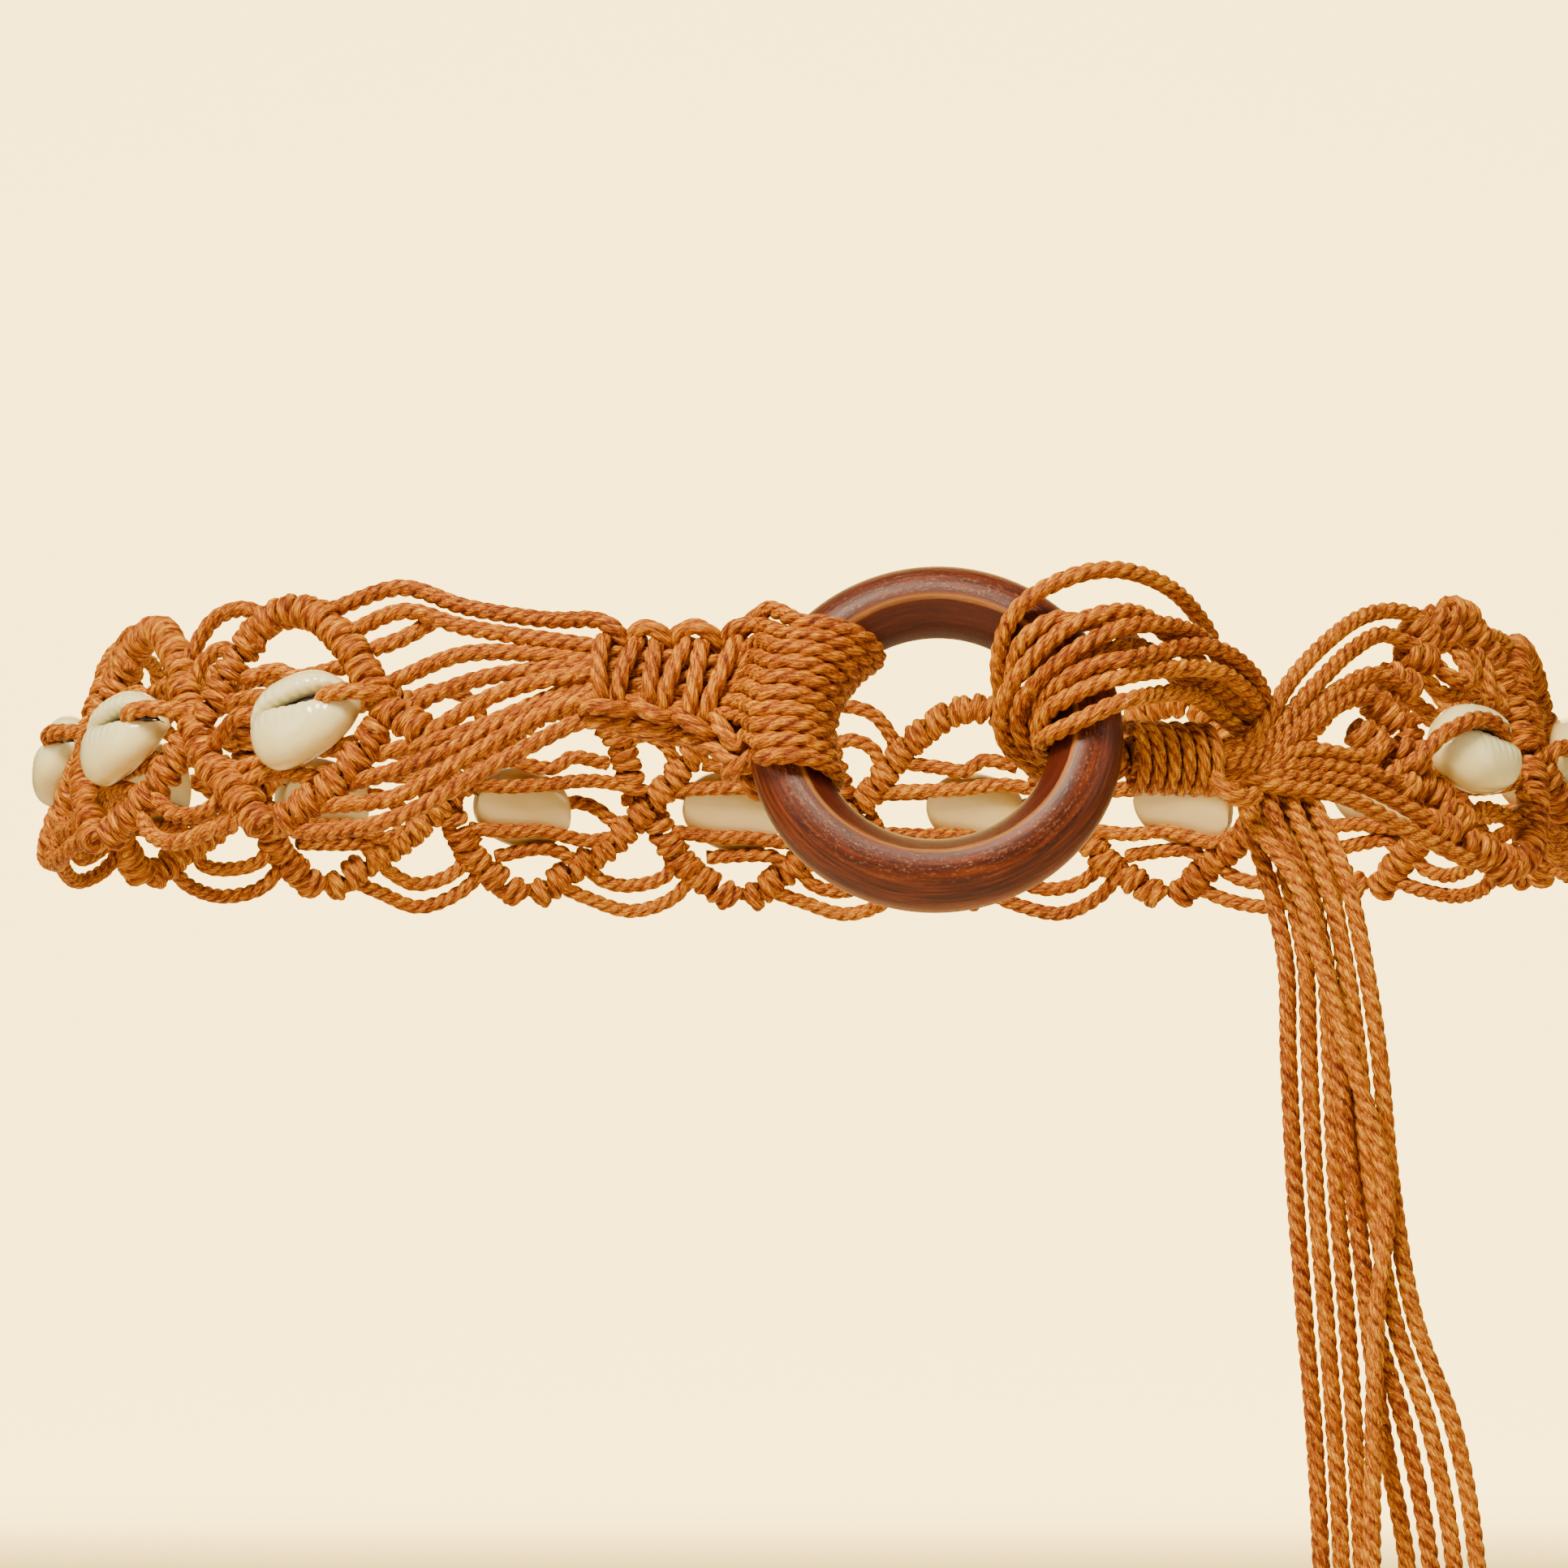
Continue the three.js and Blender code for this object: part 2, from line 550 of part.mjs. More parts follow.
function tieBand() {
  const strands = TIE_BAND.length
  const lift = DROP_THICK / 2 + GAP
  const routes = TIE_BAND.map((row, k) => {
    const side = (strands - 1) / 2 - k
    const start = onBelt(COIL_START - 3 * GAP, COIL_RISE + side * 1.1, COIL_LIFT - 2.4)
    return tieRoute(row, start, [
      onBelt(DROP_TOP.along + side * 0.8, DROP_TOP.rise + 2 * CORD - side * 0.5, lift + 1.6),
      onBelt(DROP_TOP.along + side * 0.8, DROP_TOP.rise + 2 * GAP, lift)
    ])
  })
  const sections = []
  for (let station = 0; station <= TIE_STATIONS; station++) {
    const share = station / TIE_STATIONS
    const centres = routes.map(route => route.getPoint(share))
    const ahead = routes[2].getTangent(share)
    const across = centres[strands - 1].clone().sub(centres[0]).normalize()
    const outward = across.clone().cross(ahead).normalize()
    const front = [centres[0].clone().addScaledVector(across, -CORD / 2)]
    const back = []
    centres.forEach((centre, k) => {
      if (k > 0) {
        const between = centre.clone().lerp(centres[k - 1], 0.5)
        front.push(between.clone().addScaledVector(outward, CORD * 0.15))
        back.push(between.clone().addScaledVector(outward, -CORD * 0.15))
      }
      front.push(centre.clone().addScaledVector(outward, CORD / 2))
      back.push(centre.clone().addScaledVector(outward, -CORD / 2))
    })
    front.push(centres[strands - 1].clone().addScaledVector(across, CORD / 2))
    sections.push([...front, ...back.reverse()])
  }
  const outline = Array.from({ length: sections[0].length }, (_, k) => {
    const turn = k / sections[0].length * 2 * Math.PI
    return new THREE.Vector2(Math.cos(turn), Math.sin(turn))
  })
  return loft(sections, outline)
}

function highTie() {
  const start = onBelt(COIL_START - GAP, COIL_RISE + COIL_OUTSIDE / 2, COIL_LIFT - 4)
  const finish = [onBelt(75, 12.5, 6)]
  return cord(tieRoute(HIGH_TIE, start, finish).getPoints(TIE_STATIONS), CORD, CORD_SIDES, TIE_STATIONS)
}

function gatheredEnds() {
  const corners = 8
  const outline = Array.from({ length: corners }, (_, k) => {
    const turn = (k + 0.5) / corners * 2 * Math.PI
    return new THREE.Vector2(Math.cos(turn), Math.sin(turn))
  })
  return loft(DROP_SECTIONS.map(row => outline.map(corner => onBelt(
    row.along + corner.y * row.wide / 2, row.rise, GAP + DROP_THICK / 2 * (1 + corner.x)
  ))), outline)
}

// Loose ends: where each starts under the bundle, and how far right of the middle it is at each height.
// Three layers lie over each other, nearest the body first, so that the cords cross without touching.
const HANG_HEIGHTS = [-30, -44, -60, -83, -106, -126, -150]
const HANG_LAYERS = [
  [-94.5, -98, -99.5, -100.5, -101, -101, -101],
  [-98.3, -101.6, -103, -104, -104.4, -104.5, -104.6],
  [-102.4, -105.2, -106.6, -107.6, -108, -108, -108]
]
const HANGING_CORDS = [
  { along: 72, lift: 5.1, layer: 2, end: -168, right: [82.4, 86.4, 91, 97, 95.2, 94.4, 94] },
  { along: 74, lift: 1.8, layer: 0, end: -166, right: [78.5, 81, 81.2, 82, 83.5, 85, 86] },
  { along: 78, lift: 1.8, layer: 0, end: -171, right: [82, 84.4, 84.8, 85.6, 87.2, 88.5, 89.5] },
  { along: 82, lift: 1.8, layer: 0, end: -167, right: [85.6, 87.8, 88.4, 89.2, 90.8, 92, 93] },
  { along: 86, lift: 1.8, layer: 0, end: -173, right: [89.2, 91.2, 92, 92.8, 94.4, 97, 101] },
  { along: 76.8, lift: 5.1, layer: 1, end: -169, right: [84, 87.6, 89.4, 91.5, 95, 100.6, 104.6] },
  { along: 81, lift: 5.1, layer: 1, end: -172, right: [88, 91, 93, 95, 98.6, 104.8, 108.6] },
  { along: 85.4, lift: 5.1, layer: 1, end: -170, right: [91.8, 94.4, 96.6, 98.5, 102.2, 109, 112.6] }
]
const HANG_START = 2

function hangingCord(row) {
  const depths = HANG_LAYERS[row.layer]
  const last = HANG_HEIGHTS.length - 1
  const points = HANG_HEIGHTS.map((height, k) => new THREE.Vector3(row.right[k], depths[k], height))
  return cord([
    onBelt(row.along, DROP_BOTTOM - GAP, row.lift),
    onBelt(row.along + 0.4, DROP_BOTTOM - GAP - HANG_START, row.lift),
    ...points,
    new THREE.Vector3(row.right[last], depths[last], row.end)
  ], CORD, HANG_SIDES, HANG_STEPS)
}

addPiece('wood_ring', woodRing(), WOOD_COLOUR, WOOD_ROUGHNESS)
addCord('ring_wrap', hitchSleeve())
addCord('knotted_neck', toGeometry(leftFan()))
addCord('right_fan', toGeometry(rightFan()))
addCord('coil_wrap', coilWrap())
addCord('tie_band', tieBand())
addCord('high_tie', highTie())
addCord('gathered_ends', gatheredEnds())
for (let index = 0; index < DIAMONDS; index++) {
  const number = String(index + 1).padStart(2, '0')
  addCord(`diamond_${number}`, diamond(index))
  addPiece(`cowrie_${number}`, cowrie(index), SHELL_COLOUR, SHELL_ROUGHNESS)
}
HANGING_CORDS.forEach((row, k) => addCord(`hanging_cord_${k + 1}`, hangingCord(row)))

export default belt
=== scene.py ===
import math
import random

import bpy
import numpy as np
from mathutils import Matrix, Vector


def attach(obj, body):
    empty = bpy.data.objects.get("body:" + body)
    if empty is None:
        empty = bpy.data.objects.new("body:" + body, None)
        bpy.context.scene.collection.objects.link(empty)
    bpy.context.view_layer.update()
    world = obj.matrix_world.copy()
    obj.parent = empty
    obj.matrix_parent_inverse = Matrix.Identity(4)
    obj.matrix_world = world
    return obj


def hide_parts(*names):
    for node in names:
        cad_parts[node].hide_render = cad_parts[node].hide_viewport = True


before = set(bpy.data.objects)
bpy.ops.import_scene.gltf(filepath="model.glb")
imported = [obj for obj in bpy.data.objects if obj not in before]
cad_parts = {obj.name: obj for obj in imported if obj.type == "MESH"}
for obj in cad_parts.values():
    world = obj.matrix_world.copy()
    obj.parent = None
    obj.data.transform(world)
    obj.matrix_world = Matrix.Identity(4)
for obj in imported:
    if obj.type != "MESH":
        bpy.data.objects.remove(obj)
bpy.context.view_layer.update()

# Camera: it stands in front of the belt, a little below it, and looks slightly upwards. Its distance and focal length
# give the photo's perspective.
VIEW_DISTANCE = 0.9
VIEW_CLIMB = math.radians(5)
VIEW_TARGET = Vector((-0.0069, -0.112, -0.0139))
VIEW_FOCAL_PIXELS = 6408
PHOTO_PIXELS = 1932
FILM_WIDTH = 36

view_direction = Vector((0, math.cos(VIEW_CLIMB), math.sin(VIEW_CLIMB)))
bpy.ops.object.camera_add(
    location=VIEW_TARGET - VIEW_DISTANCE * view_direction,
    rotation=(math.pi / 2 + VIEW_CLIMB, 0, 0),
)
camera = bpy.context.object
camera.data.sensor_width = FILM_WIDTH
camera.data.lens = FILM_WIDTH * VIEW_FOCAL_PIXELS / PHOTO_PIXELS
bpy.context.scene.camera = camera

# Loose cords: eight waxed cotton cords of three plies, tied over the ring, gathered behind the fan of cords and left
# to hang. Each is laid as one length and cut into its tie, its gathered stretch and its loose end.
WAIST_HALF_WIDTH = 0.139
WAIST_HALF_DEPTH = 0.1
HIP_FLARE = math.radians(18)
GAP = 0.0003
CORD = 0.0031
CORD_CROWNS = 0.0033
LAY = 0.0084
TIGHT_LAY = 0.0102
CORD_CORNERS = 12
PLY_CORNERS = CORD_CORNERS // 3
PLY_OFFSET = 0.34
PLY_RADIUS = 0.66
GROOVE_SHADE_FADE = 1.6
FIBRE_SLANT = 0.75
CURVE_STEPS = 10
MILLIMETRE = 0.001
BUNDLE_TURN = 2.4
BUNDLE_RADIUS = 0.0019

waist_turns = np.linspace(-math.pi / 2, 1.5 * math.pi, 4001)
waist_line = np.stack([WAIST_HALF_WIDTH * np.cos(waist_turns), WAIST_HALF_DEPTH * np.sin(waist_turns)], axis=1)
waist_lengths = np.concatenate([[0], np.cumsum(np.linalg.norm(np.diff(waist_line, axis=0), axis=1))])
WAIST_ROUND = float(waist_lengths[-1])


def belt_axes(along):
    """Place on the waist, and the directions along, up and out, at a distance along it from the front middle."""
    turn = float(np.interp(along % WAIST_ROUND, waist_lengths, waist_turns))
    place = Vector((WAIST_HALF_WIDTH * math.cos(turn), WAIST_HALF_DEPTH * math.sin(turn), 0))
    east = Vector((-WAIST_HALF_WIDTH * math.sin(turn), WAIST_HALF_DEPTH * math.cos(turn), 0)).normalized()
    level = Vector((east.y, -east.x, 0))
    out = level * math.cos(HIP_FLARE) + Vector((0, 0, math.sin(HIP_FLARE)))
    up = level * -math.sin(HIP_FLARE) + Vector((0, 0, math.cos(HIP_FLARE)))
    return place, east, up, out


def on_belt(along, rise, lift):
    place, _, up, out = belt_axes(along)
    return place + up * rise + out * lift


def belt_points(places):
    """Points for belt places (along, rise, lift) in millimetres."""
    return [on_belt(*(Vector(place) * MILLIMETRE)) for place in places]


RING_OUTSIDE = 0.065
RING_BAND = 0.0129
RING_DEPTH = 0.014
RING_ALONG = 0.0181
RING_RISE = -0.01
RING_LIFT = 0.0045
RING_LEAN = math.radians(-2)
RING_TURN = math.radians(-8)

belt_east, belt_up, belt_out = belt_axes(RING_ALONG)[1:]
ring_up = belt_up * math.cos(RING_LEAN) + belt_out * math.sin(RING_LEAN)
lean_out = belt_out * math.cos(RING_LEAN) - belt_up * math.sin(RING_LEAN)
ring_east = belt_east * math.cos(RING_TURN) - lean_out * math.sin(RING_TURN)
ring_out = ring_east.cross(ring_up)
ring_centre = on_belt(RING_ALONG, RING_RISE, RING_LIFT + RING_DEPTH / 2)


def on_ring(right, up, out):
    return ring_centre + ring_east * right + ring_up * up + ring_out * out


def smooth_line(points, step):
    """Points a step apart along a smooth curve through the given ones."""
    points = [Vector(point) for point in points]
    guides = [2 * points[0] - points[1], *points, 2 * points[-1] - points[-2]]
    dense = []
    for before, start, end, after in zip(guides, guides[1:], guides[2:], guides[3:]):
        first = max((start - before).length, 1e-6) ** 0.5
        second = first + max((end - start).length, 1e-6) ** 0.5
        third = second + max((after - end).length, 1e-6) ** 0.5
        for k in range(CURVE_STEPS):
            here = first + (second - first) * k / CURVE_STEPS
            a = before.lerp(start, here / first)
            b = start.lerp(end, (here - first) / (second - first))
            c = end.lerp(after, (here - second) / (third - second))
            d = a.lerp(b, here / second)
            e = b.lerp(c, (here - first) / (third - first))
            dense.append(d.lerp(e, (here - first) / (second - first)))
    dense = np.array([*dense, points[-1]])
    lengths = np.concatenate([[0], np.cumsum(np.linalg.norm(np.diff(dense, axis=0), axis=1))])
    places = np.linspace(0, lengths[-1], max(3, round(lengths[-1] / step)) + 1)
    return np.stack([np.interp(places, lengths, dense[:, axis]) for axis in range(3)], axis=1)


def lay_cord(points, chance, diameter=CORD_CROWNS, lay=LAY):
    """A cord's sections along its route: centres, two directions across it, distance, width, twist and tone."""
    centres = smooth_line(points, lay / CORD_CORNERS)
    heading = np.gradient(centres, axis=0)
    heading /= np.linalg.norm(heading, axis=1)[:, None]
    ahead = [Vector(direction) for direction in heading]
    across = ahead[0].orthogonal().normalized()
    sides = [across]
    for before, after in zip(ahead, ahead[1:]):
        across = (before.rotation_difference(after) @ across).normalized()
        sides.append(across)
    sides = np.array(sides)
    distance = np.concatenate([[0], np.cumsum(np.linalg.norm(np.diff(centres, axis=0), axis=1))])
    return {
        "centres": centres,
        "sides": sides,
        "others": np.cross(heading, sides),
        "distance": distance + chance.uniform(0, 1),
        "widths": np.full(len(centres), diameter),
        "twist": -2 * math.pi * distance / lay + chance.uniform(0, 2 * math.pi),
        "tone": np.full(len(centres), chance.uniform(-1, 1)),
    }


def cut_cord(cord, start, end):
    return {name: values[start:end] for name, values in cord.items()}


ply_corner_angles = np.array([(k % PLY_CORNERS) * 2 / PLY_CORNERS - 1 for k in range(CORD_CORNERS)]) * math.pi / 3
ply_outline = PLY_OFFSET * np.cos(ply_corner_angles) + np.sqrt(
    PLY_RADIUS**2 - (PLY_OFFSET * np.sin(ply_corner_angles)) ** 2
)
# How deep each corner of a section lies in the groove between plies; the material paints shade there.
ply_groove_shade = ((1 - np.cos(ply_corner_angles)) / (1 - math.cos(math.pi / 3))) ** GROOVE_SHADE_FADE
section_turns = np.arange(CORD_CORNERS) * 2 * math.pi / CORD_CORNERS


def cord_piece(name, cords, material):
    """One mesh of twisted cords, with their fibre direction, the painted shade of their grooves and their tone kept on
    it for the material.
    """
    vertices, faces, fibres, looks = [], [], [], []
    base = 0
    for cord in cords:
        count = len(cord["centres"])
        turns = section_turns[None, :] + cord["twist"][:, None]
        reach = ply_outline[None, :] * cord["widths"][:, None] / 2
        rim = cord["centres"][:, None, :] + reach[..., None] * (
            np.cos(turns)[..., None] * cord["sides"][:, None, :] + np.sin(turns)[..., None] * cord["others"][:, None, :]
        )
        slant = section_turns[None, :] + FIBRE_SLANT * cord["twist"][:, None]
        along = np.repeat(cord["distance"][:, None], CORD_CORNERS, axis=1)
        fibre = np.stack([reach * np.cos(slant), reach * np.sin(slant), along], axis=2)
        look = np.stack(
            [
                np.repeat(ply_groove_shade[None, :], count, axis=0),
                np.repeat(cord["tone"][:, None], CORD_CORNERS, axis=1),
                np.zeros((count, CORD_CORNERS)),
            ],
            axis=2,
        )
        vertices += [rim.reshape(-1, 3), cord["centres"][[0, -1]]]
        fibres += [fibre.reshape(-1, 3), fibre[[0, -1], 0]]
        looks += [look.reshape(-1, 3), look[[0, -1], 0]]
        rows = base + np.arange(count - 1)[:, None] * CORD_CORNERS
        here = rows + np.arange(CORD_CORNERS)[None, :]
        beside = rows + (np.arange(CORD_CORNERS)[None, :] + 1) % CORD_CORNERS
        faces += np.stack([here, beside, beside + CORD_CORNERS, here + CORD_CORNERS], axis=2).reshape(-1, 4).tolist()
        start_cap = base + count * CORD_CORNERS
        last_ring = base + (count - 1) * CORD_CORNERS
        for k in range(CORD_CORNERS):
            beside_k = (k + 1) % CORD_CORNERS
            faces.append([base + beside_k, base + k, start_cap])
            faces.append([last_ring + k, last_ring + beside_k, start_cap + 1])
        base = start_cap + 2
    mesh = bpy.data.meshes.new(name)
    mesh.from_pydata(np.concatenate(vertices).tolist(), [], faces)
    mesh.shade_smooth()
    for attribute_name, values in (("fibre", fibres), ("cord_look", looks)):
        attribute = mesh.attributes.new(attribute_name, "FLOAT_VECTOR", "POINT")
        attribute.data.foreach_set("vector", np.concatenate(values).astype(np.float32).ravel())
    mesh.materials.append(material)
    piece = bpy.data.objects.new(name, mesh)
    bpy.context.scene.collection.objects.link(piece)
    return piece


def set_inputs(tree, node, inputs):
    """Each named input gets its value, or a link from another node's output."""
    for name, value in dict(inputs).items():
        if isinstance(value, bpy.types.NodeSocket):
            tree.links.new(value, node.inputs[name])
        else:
            node.inputs[name].default_value = value


def add_node(tree, kind, inputs=(), **settings):
    node = tree.nodes.new(kind)
    for name, value in settings.items():
        setattr(node, name, value)
    set_inputs(tree, node, inputs)
    return node


def ramp(tree, value, *stops):
    """The colour that a value gets on a ramp with the given (place, colour) stops."""
    node = add_node(tree, "ShaderNodeValToRGB", {"Fac": value})
    elements = node.color_ramp.elements
    for element, (place, colour) in zip((elements[0], elements[1]), (stops[0], stops[-1])):
        element.position, element.color = place, (*colour, 1)
    for place, colour in stops[1:-1]:
        elements.new(place).color = (*colour, 1)
    return node.outputs["Color"]


def plus(tree, first, second, weight):
    inputs = {0: second, 1: weight, 2: first}
    return add_node(tree, "ShaderNodeMath", inputs, operation="MULTIPLY_ADD").outputs[0]


def times(tree, first, second):
    return add_node(tree, "ShaderNodeMath", {0: first, 1: second}, operation="MULTIPLY").outputs[0]


def ranged(tree, value, start, end, low=0, high=1):
    """Low at the start of a value's range, high at its end, and even between them."""
    inputs = {"Value": value, "From Min": start, "From Max": end, "To Min": low, "To Max": high}
    return add_node(tree, "ShaderNodeMapRange", inputs).outputs["Result"]


def mixed(tree, share, first, second):
    inputs = {"Factor": share, "A": first, "B": second}
    return add_node(tree, "ShaderNodeMix", inputs, data_type="RGBA").outputs["Result"]


def kept(tree, name):
    """What a mesh keeps under a name at each point."""
    return add_node(tree, "ShaderNodeAttribute", attribute_name=name).outputs["Vector"]


def bumped(tree, height, strength, distance):
    inputs = {"Height": height, "Strength": strength, "Distance": distance}
    return add_node(tree, "ShaderNodeBump", inputs).outputs["Normal"]


def grain_group():
    """The node group for grain: noise that is drawn out along the directions in which its stretch is small."""
    group = bpy.data.node_groups.new("grain", "ShaderNodeTree")
    sockets = {"Place": "Vector", "Stretch": "Vector", "Scale": "Float", "Detail": "Float", "Roughness": "Float"}
    for name, kind in sockets.items():
        group.interface.new_socket(name, in_out="INPUT", socket_type="NodeSocket" + kind)
    group.interface.new_socket("Grain", in_out="OUTPUT", socket_type="NodeSocketFloat")
    given = add_node(group, "NodeGroupInput").outputs
    drawn_out = add_node(group, "ShaderNodeMapping", {"Vector": given["Place"], "Scale": given["Stretch"]})
    inputs = {name: given[name] for name in ("Scale", "Detail", "Roughness")}
    noise = add_node(group, "ShaderNodeTexNoise", {"Vector": drawn_out.outputs["Vector"], **inputs})
    add_node(group, "NodeGroupOutput", {"Grain": noise.outputs["Fac"]})
    return group


GRAIN = grain_group()


def grain(tree, place, scale, detail, roughness=0.5, stretch=(1, 1, 1)):
    inputs = {"Place": place, "Stretch": stretch, "Scale": scale, "Detail": detail, "Roughness": roughness}
    return add_node(tree, "ShaderNodeGroup", inputs, node_tree=GRAIN).outputs["Grain"]


def new_material(name, finish):
    """A material whose shader gets the inputs that the finish gives for its node tree."""
    material = bpy.data.materials.new(name)
    material.use_nodes = True
    tree = material.node_tree
    set_inputs(tree, tree.nodes["Principled BSDF"], finish(tree))
    return material


def waxed_cord(tree):
    """Dyed and waxed cotton: fine fibres that run with the cord, painted shade in the grooves between plies, uneven
    dye, and pale specks that are partly wax and partly painted glints of its sheen.
    """
    fibre = kept(tree, "fibre")
    look = add_node(tree, "ShaderNodeSeparateXYZ", {0: kept(tree, "cord_look")}).outputs
    streaks = grain(tree, fibre, 3600, 4, 0.65, (1, 1, 0.14))
    shade = plus(tree, -0.73, streaks, 2.1)
    shade = plus(tree, shade, grain(tree, fibre, 420, 3), 0.5)
    shade = plus(tree, shade, look["Y"], 0.06)
    # Painted shade: darker where the plies meet in their grooves.
    shade = plus(tree, shade, look["X"], -0.28)
    dye = ramp(
        tree,
        shade,
        (0.0, (0.055, 0.005, 0.0004)),
        (0.25, (0.18, 0.026, 0.0008)),
        (0.52, (0.42, 0.105, 0.002)),
        (0.78, (0.72, 0.272, 0.003)),
        (1.0, (0.95, 0.53, 0.01)),
    )
    # Pale specks: partly wax and partly painted glints of the wax's sheen, mixed into the colour.
    specks = ranged(tree, grain(tree, fibre, 1500, 2), 0.66, 0.76, high=0.55)
    return {
        "Base Color": mixed(tree, specks, dye, (0.9, 0.58, 0.2, 1)),
        "Roughness": ranged(tree, streaks, 0, 1, 0.72, 0.44),
        "Normal": bumped(tree, streaks, 0.9, 0.0003),
        "Specular IOR Level": 0.2,
        "Sheen Weight": 0.03,
        "Sheen Roughness": 0.4,
        "Sheen Tint": (1, 0.72, 0.4, 1),
    }


CORD_MATERIAL = new_material("waxed_cotton_cord", waxed_cord)

# Heights at which each loose cord has a place, and how far back each layer of them lies there, in millimetres.
HANG_HEIGHTS = (-30, -44, -60, -83, -106, -126, -150)
HANG_LAYERS = (
    (-94.5, -98, -99.5, -100.5, -101, -101, -101),
    (-98.3, -101.6, -103, -104, -104.4, -104.5, -104.6),
    (-102.4, -105.2, -106.6, -107.6, -108, -108, -108),
)
DROP_BOTTOM = -0.0185
DROP_ALONG = 0.0785
COIL_START = 0.0502
COIL_LENGTH = 0.0177
COIL_OUTSIDE = 0.0135
COIL_RISE = -0.0112
COIL_LIFT = COIL_OUTSIDE / 2 + GAP
